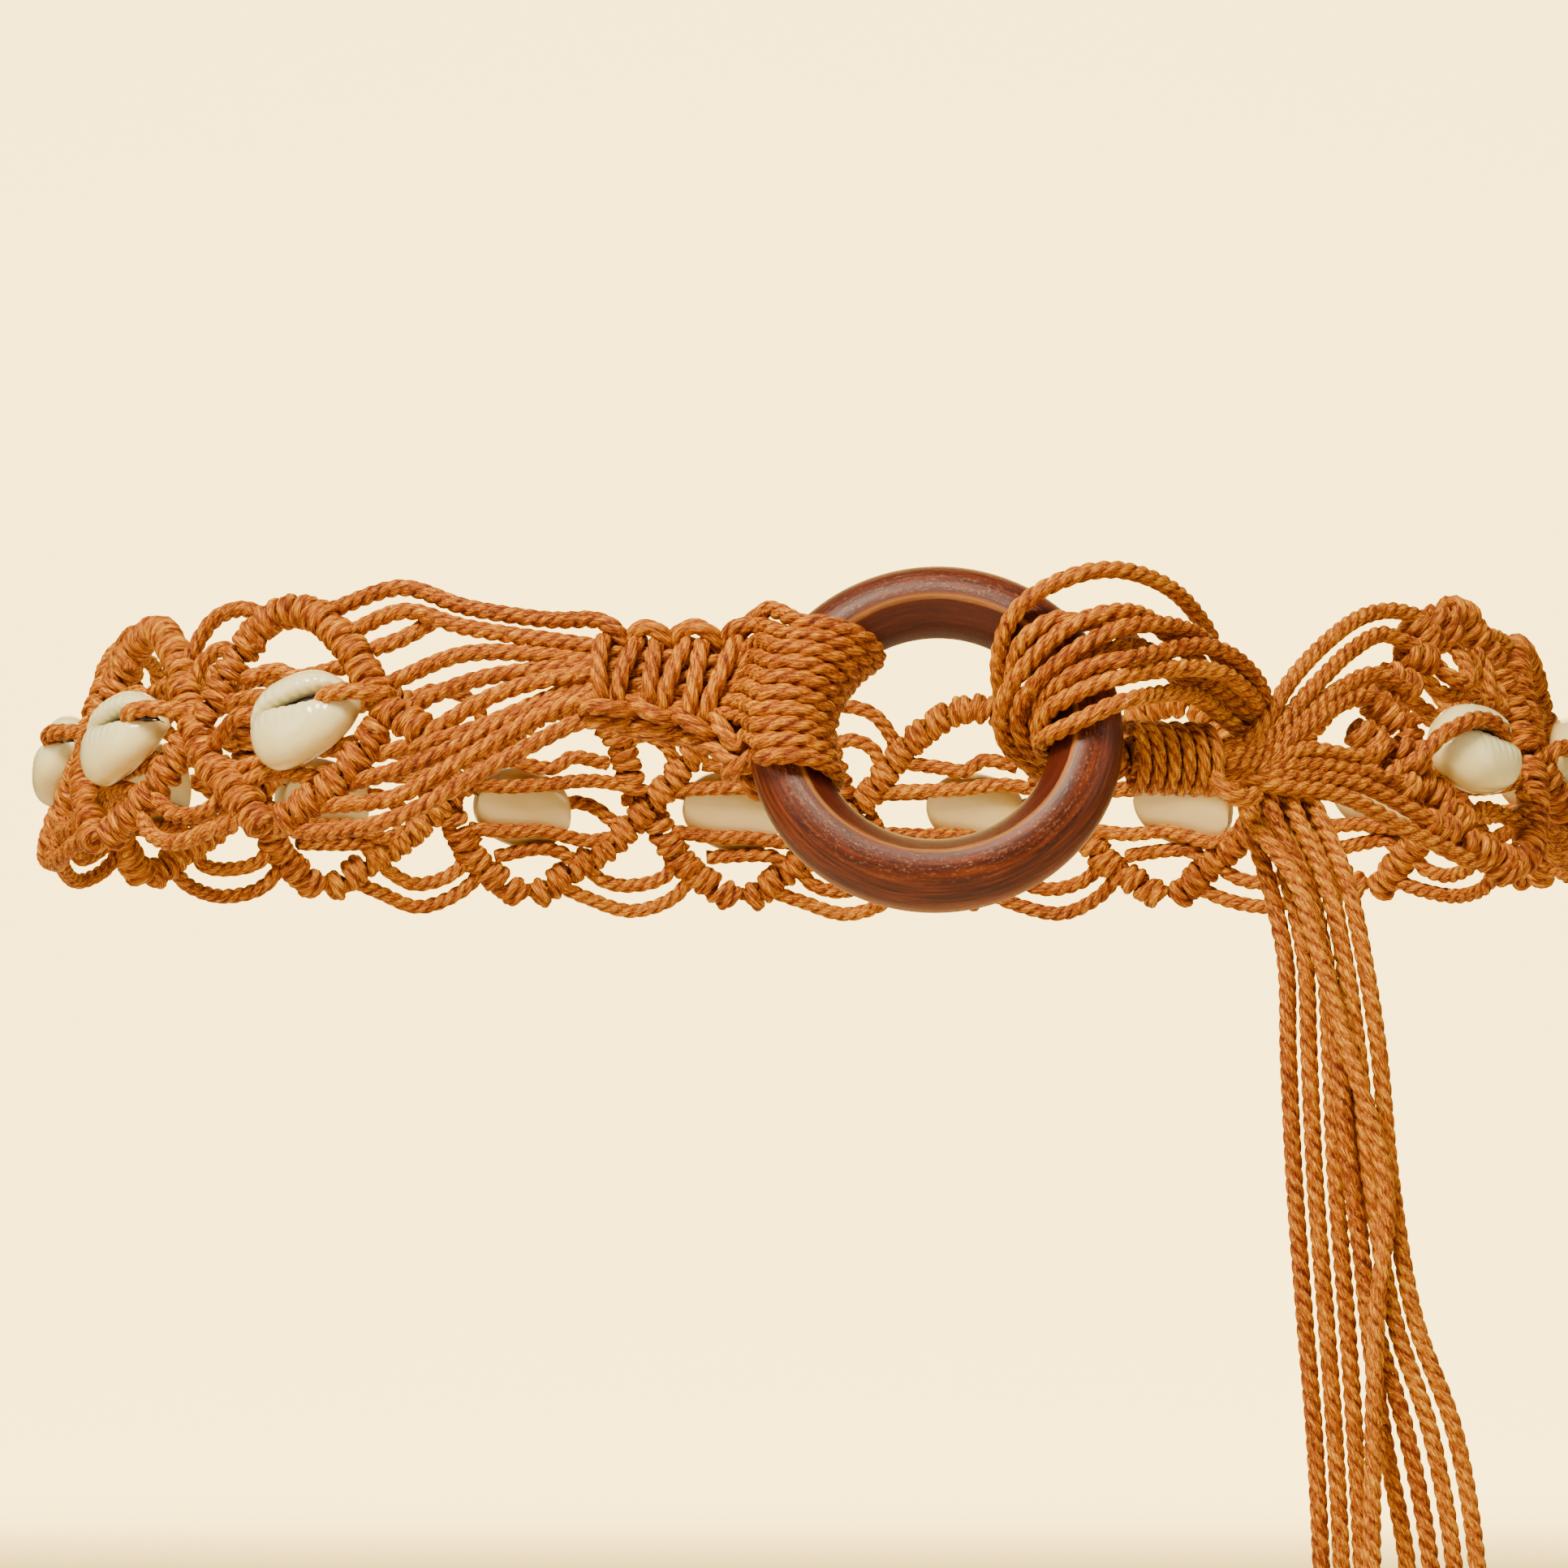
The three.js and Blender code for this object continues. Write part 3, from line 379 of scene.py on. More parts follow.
# Each cord, in millimetres: where it goes behind the ring and over it (right, up and out in the ring's plane), where it
# comes down on the belt (along, rise, lift), where it hangs from (along, lift), its layer, its end, and how far right
# it is at each height.
LOOSE_CORDS = (
    {
        "stem": (26, -4.5, -9),
        "tie": ((19.9, -2.4, -6.5), (18.7, -2.6, -3), (17.9, -2.7, 1), (19.4, -3, 4.8), (21.6, -3, 7.2),
                (24.2, -2.4, 8.4), (27.3, -1.2, 9), (30.5, 0.2, 9), (33.8, 1.4, 8.4)),
        "down": ((50.8, -6.3, 23), (54.8, -4.6, 20.5), (58.8, -3.3, 17.5), (62.9, -2.6, 13.5), (66.5, -2.7, 10),
                 (69.5, -3, 7.2), (74, -5.5, 5.1)),
        "hang": (72, 5.1), "layer": 2, "end": -168, "right": (82.4, 86.4, 91, 97, 95.2, 94.4, 94),
    },
    {
        "stem": (26, -4.2, -12),
        "tie": ((19.3, -2.8, -8), (16.9, -1.4, -6), (14.9, 0.2, -2.5), (14.3, 2.4, 0.5), (15.2, 4.7, 3.2),
                (17.3, 6.2, 5.8), (19.9, 7.6, 8.2), (22.9, 9.2, 10), (26.2, 11.2, 10.6), (29.7, 12.9, 10.6),
                (33.3, 14.4, 10)),
        "down": ((49.8, 5.5, 26.5), (54, 6.8, 24), (58.2, 7.5, 21), (62.1, 8, 17.5), (66.1, 7.7, 13.5),
                 (69.9, 6.6, 10), (73.6, 4.2, 6.4), (76, 0, 1.9)),
        "hang": (74, 1.8), "layer": 0, "end": -166, "right": (78.5, 81, 81.2, 82, 83.5, 85, 86),
    },
    {
        "stem": (26, 1.5, -12.3),
        "tie": ((18.1, -3.3, -9), (15, -1.7, -7.5), (12.6, -0.2, -5), (11.5, 1.6, -2), (11.4, 3.7, 0.5),
                (12.4, 6, 3), (14.5, 8.2, 5.5), (17.2, 10.4, 7.8), (19.9, 12.4, 9.2), (22.5, 14.2, 10),
                (25.3, 15.6, 10.4), (28.1, 16.7, 10.4), (31.5, 17.5, 10)),
        "down": ((48.5, 8.2, 25.5), (51.8, 8.3, 23), (55.4, 7.9, 19), (59.4, 7.4, 15), (64.5, 6, 10.8),
                 (70, 3.6, 6.4), (75, -0.5, 1.9)),
        "hang": (78, 1.8), "layer": 0, "end": -171, "right": (82, 84.4, 84.8, 85.6, 87.2, 88.5, 89.5),
    },
    {
        "stem": (26, 0, -15),
        "tie": ((18.7, -3.5, -9.4), (15.7, -0.7, -7.5), (13.6, 2.9, -5), (13.1, 6.2, -2), (13.7, 9.2, 1.5),
                (14.3, 11.6, 4.5), (15.6, 14, 6.8), (18.3, 15.8, 8.4), (21.9, 17.3, 8.8), (26.5, 17, 7.4)),
        "down": ((46.3, 8.6, 20), (51, 7.4, 15.5), (56, 5.6, 11.8), (62, 3.2, 8.4), (69.5, 0, 4.9), (76, -3.5, 1.9)),
        "hang": (82, 1.8), "layer": 0, "end": -167, "right": (85.6, 87.8, 88.4, 89.2, 90.8, 92, 93),
    },
    {
        "stem": (26, -3, -15),
        "tie": ((18.1, -3, -11.6), (14.8, 0.7, -9), (12.7, 5.4, -5.8), (11.8, 8.7, -2.8), (11.4, 11.7, 1),
                (11.9, 14.5, 4), (13.3, 17.3, 7), (15.7, 19.7, 9.5), (19.2, 22, 10.5), (23.5, 23.8, 11),
                (28.1, 25.3, 10.5)),
        "down": ((46.4, 16, 26), (51, 16.2, 24), (56, 15.8, 21), (60.6, 15.1, 17), (64.7, 13.7, 13),
                 (67.8, 12.2, 9.8), (70.6, 9.6, 6.4), (75, 4.5, 4.9), (80, -3, 1.9)),
        "hang": (86, 1.8), "layer": 0, "end": -173, "right": (89.2, 91.2, 92, 92.8, 94.4, 97, 101),
    },
    {
        "stem": (26, 0.9, -9.2),
        "tie": ((19.5, -2.3, -8.6), (17.8, -1.1, -5.6), (17.2, 0.8, -2.5), (17.8, 2.7, 1.2), (19.8, 4.5, 5.2),
                (22.8, 5.6, 8.8), (26.1, 6.6, 10.3), (29.7, 7.6, 10.6), (33.4, 8.2, 10.2)),
        "down": ((49.6, -0.3, 26.5), (53.3, 1.5, 24.5), (57.8, 3.4, 22.5), (62.7, 4.7, 20), (67.5, 4.8, 17),
                 (72, 3.9, 13.5), (75.8, 2.5, 10), (78.6, 0.6, 6.4), (79.5, -4, 5.1)),
        "hang": (76.8, 5.1), "layer": 1, "end": -169, "right": (84, 87.6, 89.4, 91.5, 95, 100.6, 104.6),
    },
    {
        "stem": (26, -1.8, -9),
        "tie": ((19.7, -1.8, -6.6), (18.2, -0.9, -3.2), (17.8, -0.1, 0.6), (18.6, 0.9, 3.7), (20.2, 1.7, 6.2),
                (22.8, 2.3, 8.2), (25.8, 3.4, 9.2), (29, 4.4, 9.6), (32.3, 5.3, 9.4)),
        "down": ((48.3, -3.5, 26), (52.4, -2.1, 24.5), (57.7, -0.4, 22), (62.1, 0.6, 19.5), (66.1, 0.8, 17),
                 (70.2, 0.5, 13.5), (73.9, 0.1, 10), (77, -1, 6.4), (80.5, -5.5, 5.1)),
        "hang": (81, 5.1), "layer": 1, "end": -172, "right": (88, 91, 93, 95, 98.6, 104.8, 108.6),
    },
    {
        "stem": (26, -1.4, -12.2),
        "tie": ((19.3, -2.8, -9.4), (16.9, 0.4, -6.7), (15.9, 2.9, -3), (16.6, 4.9, 0.8), (19.2, 6.4, 4.4),
                (22.4, 7.7, 7.6), (25.9, 9.4, 8.1), (29.2, 11.1, 7.6), (32.5, 12.2, 7)),
        "down": ((50.2, 4.2, 20.5), (53.5, 4.4, 17.5), (56.9, 3.4, 14.5), (60.5, 2.3, 12.5), (64.2, 1.8, 10.8),
                 (68.8, 1.2, 8.8), (73.6, -0.6, 6.2), (80, -3.5, 5.1)),
        "hang": (85.4, 5.1), "layer": 1, "end": -170, "right": (91.8, 94.4, 96.6, 98.5, 102.2, 109, 112.6),
    },
)

tie_cords, high_tie_cords, gathered_cords = [], [], []
for number, row in enumerate(LOOSE_CORDS, start=1):
    chance = random.Random(100 + number)
    depths = HANG_LAYERS[row["layer"]]
    turn = BUNDLE_TURN * number
    start_rise = COIL_RISE + BUNDLE_RADIUS * math.sin(turn)
    start = on_belt(COIL_START + GAP, start_rise, COIL_LIFT + BUNDLE_RADIUS * math.cos(turn))
    over_ring = [on_ring(*(Vector(place) * MILLIMETRE)) for place in (row["stem"], *row["tie"])]
    down = belt_points(row["down"])
    hang_along, hang_lift = (value * MILLIMETRE for value in row["hang"])
    hang_top = on_belt(hang_along, DROP_BOTTOM - GAP, hang_lift)
    gathered = on_belt((DROP_ALONG + hang_along) / 2, DROP_BOTTOM / 2, hang_lift)
    loose_places = [Vector(place) * MILLIMETRE for place in zip(row["right"], depths, HANG_HEIGHTS)]
    foot = Vector((row["right"][-1], depths[-1], row["end"])) * MILLIMETRE
    cord = lay_cord([start, *over_ring, *down, gathered, hang_top, *loose_places, foot], chance)
    top = int(np.argmin(np.linalg.norm(cord["centres"] - np.array(down[-1]), axis=1)))
    hang = int(np.argmin(np.linalg.norm(cord["centres"] - np.array(hang_top), axis=1)))
    (high_tie_cords if number == 5 else tie_cords).append(cut_cord(cord, 0, top + 1))
    gathered_cords.append(cut_cord(cord, top, hang + 1))
    loose = cut_cord(cord, hang, None)
    piece = cord_piece(f"loose_cord_{number}", [loose], CORD_MATERIAL)
    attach(piece, "root")
    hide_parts(f"hanging_cord_{number}")

for name, cords, node in (
    ("ties_over_ring", tie_cords, "tie_band"),
    ("high_loop", high_tie_cords, "high_tie"),
    ("gathered_cords", gathered_cords, "gathered_ends"),
):
    piece = cord_piece(name, cords, CORD_MATERIAL)
    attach(piece, "root")
    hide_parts(node)

# Wooden ring: turned hardwood, stained red-brown, with a chamfered hole and worn pale edges. One section is spun
# round the axis, as on a lathe.
RING_HOLE = RING_OUTSIDE / 2 - RING_BAND
RING_SECTION = (
    (0, 0), (0.03, 0.34), (0.2, 0.66), (0.35, 0.92), (0.375, 0.95), (0.4, 0.965), (0.48, 0.985), (0.6, 0.97),
    (0.74, 0.87), (0.85, 0.7), (0.93, 0.5), (0.98, 0.27), (1, 0),
)
RING_STEPS = 128

bpy.ops.object.select_all(action="DESELECT")
section_front = [(RING_HOLE + across * RING_BAND, high * RING_DEPTH / 2) for across, high in RING_SECTION]
section_back = [(radius, -high) for radius, high in reversed(section_front[1:-1])]
section = section_front + section_back
bpy.ops.mesh.primitive_circle_add(vertices=len(section), radius=RING_BAND / 2)
ring = bpy.context.object
ring.name = "turned_ring"
for corner, (radius, high) in zip(ring.data.vertices, section):
    corner.co = (radius, 0, high)
bpy.ops.object.mode_set(mode="EDIT")
bpy.ops.mesh.select_all(action="SELECT")
bpy.ops.mesh.spin(steps=RING_STEPS, angle=2 * math.pi, center=(0, 0, 0), axis=(0, 0, 1))
bpy.ops.mesh.select_all(action="SELECT")
bpy.ops.mesh.remove_doubles(threshold=1e-5)
bpy.ops.mesh.normals_make_consistent(inside=False)
bpy.ops.object.mode_set(mode="OBJECT")
turning = ring.data.attributes.new("turning", "FLOAT_VECTOR", "POINT")
for corner, value in zip(ring.data.vertices, turning.data):
    radius = math.hypot(corner.co.x, corner.co.y)
    share = (radius - RING_HOLE) / RING_BAND
    value.vector = (share, corner.co.z / (RING_DEPTH / 2), math.atan2(corner.co.y, -corner.co.x))
for corner in ring.data.vertices:
    corner.co = on_ring(corner.co.x, corner.co.y, corner.co.z)
bpy.ops.object.shade_smooth()
smoothing = ring.modifiers.new("round", "SUBSURF")
smoothing.levels = 1
smoothing.render_levels = 1
bpy.ops.object.modifier_apply(modifier="round")


def stained_wood(tree):
    """Dark stained wood with fine grain round the ring, painted shade in the chamfered hole, a front with pale specks
    that are partly dusty wear and partly painted highlight, and pale rubbed edges.
    """
    turning = kept(tree, "turning")
    place = add_node(tree, "ShaderNodeSeparateXYZ", {0: turning}).outputs
    across, high = place["X"], place["Y"]
    figure = grain(tree, turning, 1.6, 6, 0.6, (13, 7, 1.6))
    pores = grain(tree, turning, 1, 4, 0.7, (34, 20, 34))
    black, white = (0, 0, 0), (1, 1, 1)
    colour = ramp(
        tree,
        figure,
        (0.32, (0.027, 0.0022, 0.0003)),
        (0.5, (0.088, 0.0105, 0.001)),
        (0.68, (0.2, 0.031, 0.0036)),
    )
    # Painted shade: the chamfered hole is darkened towards a near-black red.
    chamfer_shade = ranged(tree, across, 0.36, 0.3, high=0.7)
    colour = mixed(tree, chamfer_shade, colour, (0.06, 0.005, 0.0008, 1))
    worn = plus(tree, across, figure, 0.05)
    worn_edge = ramp(tree, worn, (0.365, black), (0.395, (0.75, 0.75, 0.75)), (0.43, black))
    colour = mixed(tree, worn_edge, colour, (0.5, 0.2, 0.05, 1))
    # Pale specks round the front crest: partly dusty wear and partly a painted speckled highlight where light catches
    # the crest.
    front = ramp(tree, across, (0.4, black), (0.47, white), (0.64, (0.8, 0.8, 0.8)), (0.86, black))
    dust_and_highlight = times(tree, front, ranged(tree, pores, 0.54, 0.68, high=0.5))
    colour = mixed(tree, dust_and_highlight, colour, (0.5, 0.27, 0.13, 1))
    rim = times(tree, ranged(tree, high, 0.2, -0.1, high=0.6), ranged(tree, across, 0.9, 0.98))
    return {
        "Base Color": mixed(tree, rim, colour, (0.36, 0.12, 0.03, 1)),
        "Roughness": ranged(tree, pores, 0, 1, 0.3, 0.58),
        "Normal": bumped(tree, pores, 0.35, 0.0002),
        "Specular IOR Level": 0.3,
        "Coat Weight": 0.05,
        "Coat Roughness": 0.2,
    }


ring.data.materials.append(new_material("stained_wood", stained_wood))
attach(ring, "root")
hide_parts("wood_ring")

# Hitches over the ring: five lark's heads, so ten turns of cord side by side over the ring's left side. Both ends of
# each turn run on into the square knots.
HITCH_TURNS = 10
HITCH_SLACK = 0.0003
HITCH_SLACK_RANGE = 0.0003
HITCH_SINK = 0.5
HITCH_BACK_END = math.radians(-140)
HITCH_FRONT_END = math.radians(118)
HITCH_POINTS = 15
HITCH_FIRST = (math.radians(122), math.radians(141))
HITCH_LAST = (math.radians(200), math.radians(190))
# Where the back ends start, in millimetres on the belt: along, rise of the first turn, how far the last is below it
# and lift. Then each front end (along, rise, lift), from the ring towards the knots.
HITCH_STARTS = ((-21.5, 9, 14.5, 2.5), (-16.5, 10.5, 18.5, 3))
HITCH_LEADS = (
    ((-9.5, 15.2, 9.6), (-12.4, 13.9, 7.6), (-16, 11.4, 4.5)),
    ((-11.7, 12.6, 8.8), (-15.2, 12.7, 7.6), (-17.8, 10, 4.6)),
    ((-11.5, 9.4, 8.6), (-13.9, 7.6, 6.4), (-17.5, 6.5, 4.5)),
    ((-11.6, 6.5, 8.8), (-14.2, 5.6, 6.4), (-18, 4.8, 4.5)),
    ((-12, 3.4, 9), (-14.8, 3.4, 6.6), (-18.5, 3.2, 4.5)),
    ((-12.8, 0.9, 9), (-15.4, 1.4, 6.6), (-19, 1.7, 4.5)),
    ((-13.6, -2.2, 8.8), (-16.4, -0.8, 6.4), (-19.5, 0.2, 4.5)),
    ((-13.2, -5.2, 8.8), (-16.2, -3.4, 6.4), (-19.5, -1.6, 4.5)),
    ((-12.8, -8.4, 8.8), (-14.3, -9.9, 8), (-15.7, -8.8, 8.5), (-17.7, -5.2, 8), (-19.2, -2.1, 5)),
    ((-10.9, -12.7, 10.2), (-13.3, -13.9, 8.6), (-15.3, -14.5, 6.4), (-15.8, -13.6, 4), (-13.5, -12.6, 2.8)),
)

hitch_cords = []
for turn, lead in enumerate(HITCH_LEADS):
    chance = random.Random(200 + turn)
    share = turn / (HITCH_TURNS - 1)
    hole_turn = HITCH_FIRST[0] + (HITCH_LAST[0] - HITCH_FIRST[0]) * share
    outside_turn = HITCH_FIRST[1] + (HITCH_LAST[1] - HITCH_FIRST[1]) * share
    inner = Vector((math.cos(hole_turn), math.sin(hole_turn))) * RING_HOLE
    outer = Vector((math.cos(outside_turn), math.sin(outside_turn))) * (RING_OUTSIDE / 2)
    middle = (inner + outer) / 2
    to_hole = (inner - middle).normalized()
    half_across = (inner - middle).length
    reach = CORD / 2 + HITCH_SLACK + chance.uniform(0, HITCH_SLACK_RANGE)
    points = belt_points([(along, top - fall * share, lift) for along, top, fall, lift in HITCH_STARTS])
    for k in range(HITCH_POINTS):
        angle = HITCH_BACK_END + (HITCH_FRONT_END - HITCH_BACK_END) * k / (HITCH_POINTS - 1)
        flat = middle + to_hole * (half_across + (HITCH_SINK if math.cos(angle) > 0 else 1) * reach) * math.cos(angle)
        points.append(on_ring(flat.x, flat.y, (RING_DEPTH / 2 + reach) * math.sin(angle)))
    points += belt_points(lead)
    hitch_cords.append(lay_cord(points, chance, lay=TIGHT_LAY))
piece = cord_piece("ring_hitches", hitch_cords, CORD_MATERIAL)
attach(piece, "root")
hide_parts("ring_wrap")

# Square knots and the left fan: nine cords run from the band into three square knots, tied round a core of cords.
# In millimetres on the belt: fan cords as (along, rise), knot cords as (along, rise, lift).
LEFT_FAN = (
    ((-98.5, 22.2), (-95.2, 21.4), (-79.8, 24.2), (-65.6, 19.6), (-50, 16.6)),
    ((-92.5, 16), (-87.8, 17.2), (-77.8, 19.3), (-65, 15.5), (-40, 10.8)),
    ((-84.5, 4.5), (-77.4, 6.9), (-64.3, 10.7), (-40.5, 8.6)),
    ((-77.5, -1.5), (-72.4, 1.9), (-60.2, 5.5), (-44.7, 6.9), (-40, 6.8)),
    ((-73.5, -5.8), (-68.3, -3.4), (-56.5, 2.2), (-41, 5.4)),
    ((-82.5, -7.8), (-75.8, -6.9), (-62.3, -4.3), (-40.9, 3.9)),
    ((-86.8, -13.2), (-80.2, -12.5), (-68, -9.5), (-55.9, -3.3), (-40.4, 2.2)),
    ((-92.5, -16.8), (-84.7, -17.5), (-73.4, -17.1), (-61.5, -10.1), (-43.6, -0.1)),
    ((-97.5, -20.8), (-85.9, -22.3), (-72.8, -20.5), (-55.1, -10.3), (-41.2, -3)),
)
FIRST_FAN_CORD_END = ((-45.4, 15.9, 5.2), (-40.7, 15.3, 6.4), (-36.9, 13.3, 7.6), (-34.8, 11.4, 6.4), (-34.4, 10.2, 4))
FAN_START_LIFT = 1.8
FAN_LIFTS = (4.2, 4.6, 3.8, 4.6, 5.2, 3.6, 4.4, 5, 4)
KNOT_TURNS = (
    ((-37.6, 10.4, 3.2), (-38.1, 11.8, 5.8), (-38.3, 9.6, 8), (-38.3, 5.5, 8.6), (-37.8, 1.5, 8.2), (-37.3, -1.4, 5.8),
     (-37, -1, 3)),
    ((-31.6, 10.6, 3.2), (-32, 11.2, 5.8), (-32.9, 8.4, 8), (-34, 4.4, 8.7), (-34.7, 0.9, 8.2), (-35, -1.8, 5.8),
     (-35, -1.4, 3)),
    ((-28.7, 10, 3.2), (-28.9, 10.8, 5.8), (-29, 8.2, 8), (-29.1, 4.2, 8.6), (-29.3, 0.6, 8.2), (-29.7, -2.4, 5.8),
     (-29.7, -2, 3)),
    ((-22.9, 9.8, 3.2), (-23.4, 10.7, 5.8), (-24.3, 7.8, 8), (-25.6, 3.8, 8.7), (-26.6, 0.4, 8.2), (-27.4, -3.2, 5.8),
     (-27.5, -2.6, 3)),
    ((-20.9, 9.6, 3.2), (-20.9, 10.6, 5.8), (-21.1, 7.8, 8), (-21.5, 3.6, 8.6), (-22.1, -0.4, 8.2), (-22.7, -4.4, 5.8),
     (-22.7, -4, 3)),
    ((-14.2, 10.6, 3.2), (-14.6, 11.3, 5.8), (-15.8, 8, 8), (-17.2, 3.6, 8.7), (-18.8, -0.6, 8.3), (-20.2, -4.8, 6),
     (-20.4, -4.4, 3)),
    ((-34, 9.8, 4), (-33.7, 11.2, 5.6), (-32.4, 12.6, 7.2), (-29.9, 12.7, 8.2), (-27.8, 11.6, 7.6), (-26.9, 10.2, 5),
     (-26.8, 9.6, 3.6)),
    ((-26.6, 9.2, 4), (-26.4, 10.6, 5.6), (-24.9, 12.2, 7.2), (-22, 12.7, 8.2), (-19.4, 11.7, 7.6), (-18.1, 10.2, 5),
     (-18, 9.6, 3.6)),
    ((-41.8, -0.6, 4), (-41, -1.4, 6), (-38.6, -2.2, 8), (-35.6, -2.8, 8.5), (-33.4, -2.4, 7), (-32.6, -2, 4.4)),
    ((-41.6, -2.4, 3), (-38.4, -3.9, 4.8), (-35.4, -4.3, 5.2), (-33.2, -3.6, 4)),
    ((-33.6, 0, 4.6), (-32.8, -0.8, 6.6), (-30.7, -2.6, 8.2), (-27.9, -4.3, 8.5), (-25.8, -4.1, 7), (-25, -3.4, 4.4)),
    ((-33, -3.4, 3), (-30.4, -5, 4.8), (-27.6, -5.9, 5.2), (-25.6, -5, 4)),
    ((-26, -2.4, 4.6), (-25.2, -3.2, 6.6), (-23.3, -5, 8.2), (-20.9, -6.6, 8.5), (-18.9, -7.4, 7), (-18.2, -7.2, 4.4)),
    ((-24.6, -5.8, 3.4), (-22.1, -7.4, 5), (-18.8, -9.4, 6.2), (-16, -11.8, 7), (-13.4, -13.4, 6.4), (-11.4, -12.6, 4)),
    ((-36.6, -2.9, 1.9), (-33, -4.6, 2.8), (-28, -5.4, 2.8), (-24, -6.4, 2)),
)
KNOT_CORD = 0.0032
KNOT_LAY = 0.0115
# The core, in millimetres on the belt: along, rise of the first cord, how far the last is below it, lift, and how
# much higher every other cord lies.
CORE = ((-30, 9.8, 11.5, 4.4, 1.2), (-19.5, 8.8, 13.5, 4.4, 1.2), (-14.2, 8.8, 16.5, 4.2, 0))
# The knots' turns behind the core, in millimetres: top and foot of the first, and how far each is from the one before.
BACK_TURNS = 6
BACK_ALONG = -19.5
BACK_PITCH = 3.8
BACK_TOP = 9.4
BACK_TOP_CLIMB = 0.3
BACK_FOOT = -5.2
BACK_FOOT_CLIMB = 0.8
BACK_ROUND = 0.5
BACK_LIFTS = (4.2, 1.9, 1.6, 1.9, 4.2)

neck_cords = []
for k, (row, lift) in enumerate(zip(LEFT_FAN, FAN_LIFTS)):
    chance = random.Random(300 + k)
    share = k / (len(LEFT_FAN) - 1)
    lifts = [FAN_START_LIFT, (FAN_START_LIFT + lift) / 2] + [lift] * len(row)
    places = [(*place, high) for place, high in zip(row, lifts)]
    if k == 0:
        places += FIRST_FAN_CORD_END
    else:
        places += [(along, top - fall * share, low + step * (k % 2)) for along, top, fall, low, step in CORE]
    neck_cords.append(lay_cord(belt_points(places), chance))
for k, row in enumerate(KNOT_TURNS):
    neck_cords.append(lay_cord(belt_points(row), random.Random(340 + k), diameter=KNOT_CORD, lay=KNOT_LAY))
for k in range(BACK_TURNS):
    along = BACK_ALONG - BACK_PITCH * k
    top = BACK_TOP + BACK_TOP_CLIMB * k
    low = BACK_FOOT + BACK_FOOT_CLIMB * k
    rises = (top, top - BACK_ROUND, (top + low) / 2, low + BACK_ROUND, low)
    places = [(along, rise, lift) for rise, lift in zip(rises, BACK_LIFTS)]
    neck_cords.append(lay_cord(belt_points(places), random.Random(360 + k)))
piece = cord_piece("square_knots", neck_cords, CORD_MATERIAL)
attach(piece, "root")
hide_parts("knotted_neck")

# Diamond band: thirteen knotted diamonds. Each rib is a row of clove hitches over a holding cord, and the cords
# cross each open middle and loop from one diamond to the next along both edges.
BAND_LEFT_END = -0.078
BAND_RIGHT_END = 0.105
BAND_LEFT_RISE = -0.0005
BAND_RIGHT_RISE = -0.003
DIAMONDS = 13
DIAMOND_HEIGHT = 0.042
LAST_DIAMOND_STRETCH = 1.14
RIB = 0.007
RIB_THICK = 0.0066
RIB_PITCH = 0.0029
RIB_STEP = 0.0005
RIB_TURN_POINTS = 8
RIB_SWAY_RATE = 7.3
RIB_SWAY_RANGE = 0.6
PLACE_RANGE = 0.03
RIB_LIFT = GAP + RIB_THICK / 2
BAND_LENGTH = WAIST_ROUND + BAND_LEFT_END - BAND_RIGHT_END
DIAMOND_WIDTH = BAND_LENGTH / DIAMONDS


def band_rise(along):
    share = (BAND_LEFT_END - along) / BAND_LENGTH
    return BAND_LEFT_RISE + (BAND_RIGHT_RISE - BAND_LEFT_RISE) * share


def hitched_rib(places, chance, pairing=0.16, swelling=0.07):
    """Clove hitches along a rib through belt places: pairs of turns round the holding cord."""
    line = smooth_line([(along, rise, 0) for along, rise in places], RIB_STEP)
    length = RIB_STEP * (len(line) - 1)
    headings = np.gradient(line, axis=0)
    turns = max(3, round(length / RIB_PITCH))
    steps = turns * RIB_TURN_POINTS
    points = []
    for k in range(steps + 1):
        share = k / steps
        pair = pairing * math.sin(2 * math.pi * (share * turns / 2 + 0.25))
        here = min(1, max(0, share + pair / turns)) * (len(line) - 1)
        angle = 2 * math.pi * share * turns + math.pi
        sway = 1 + swelling * math.sin(RIB_SWAY_RATE * share * turns + chance.uniform(0, RIB_SWAY_RANGE))
        heading = Vector(headings[int(here)]).normalized()
        reach = (RIB - CORD) / 2 * math.cos(angle) * sway
        along = float(np.interp(here, range(len(line)), line[:, 0])) + heading.y * reach
        rise = float(np.interp(here, range(len(line)), line[:, 1])) - heading.x * reach
        points.append(on_belt(along, rise, RIB_LIFT + (RIB_THICK - CORD) / 2 * math.sin(angle) * sway))
    return lay_cord(points, chance, diameter=CORD, lay=TIGHT_LAY)


# Shares of half a diamond's width and half its height; the inner cords and loops with their lift in millimetres.
RIBS = (
    ((-0.13, 1.05), (0.1, 0.98), (0.46, 0.71), (0.78, 0.3), (0.99, 0.02)),
    ((-1, 0), (-0.73, -0.32), (-0.35, -0.64), (0.03, -0.97)),
    ((-0.14, 1.08), (-0.46, 0.97), (-0.72, 0.6), (-0.87, 0.1)),
    ((0.16, -0.96), (0.61, -0.6), (0.85, -0.26), (0.93, -0.1)),
)
INNER_CORDS = (
    ((-0.58, 0.44, 3.4), (-0.24, 0.5, 2.6), (-0.04, 0.41, 2.4), (0.2, 0.45, 2.6), (0.52, 0.5, 3.4)),
    ((-0.8, 0.2, 3.4), (-0.4, 0.27, 2.4), (0, 0.24, 2), (0.4, 0.22, 2.4), (0.78, 0.2, 3.4)),
    ((-0.72, -0.3, 3.4), (-0.45, -0.36, 2.4), (0, -0.26, 2), (0.4, -0.28, 2.4), (0.74, -0.26, 3.4)),
    ((-0.55, -0.5, 3.4), (-0.36, -0.58, 2.8), (-0.2, -0.47, 2.6), (0, -0.45, 2.4), (0.45, -0.52, 3.4)),
)
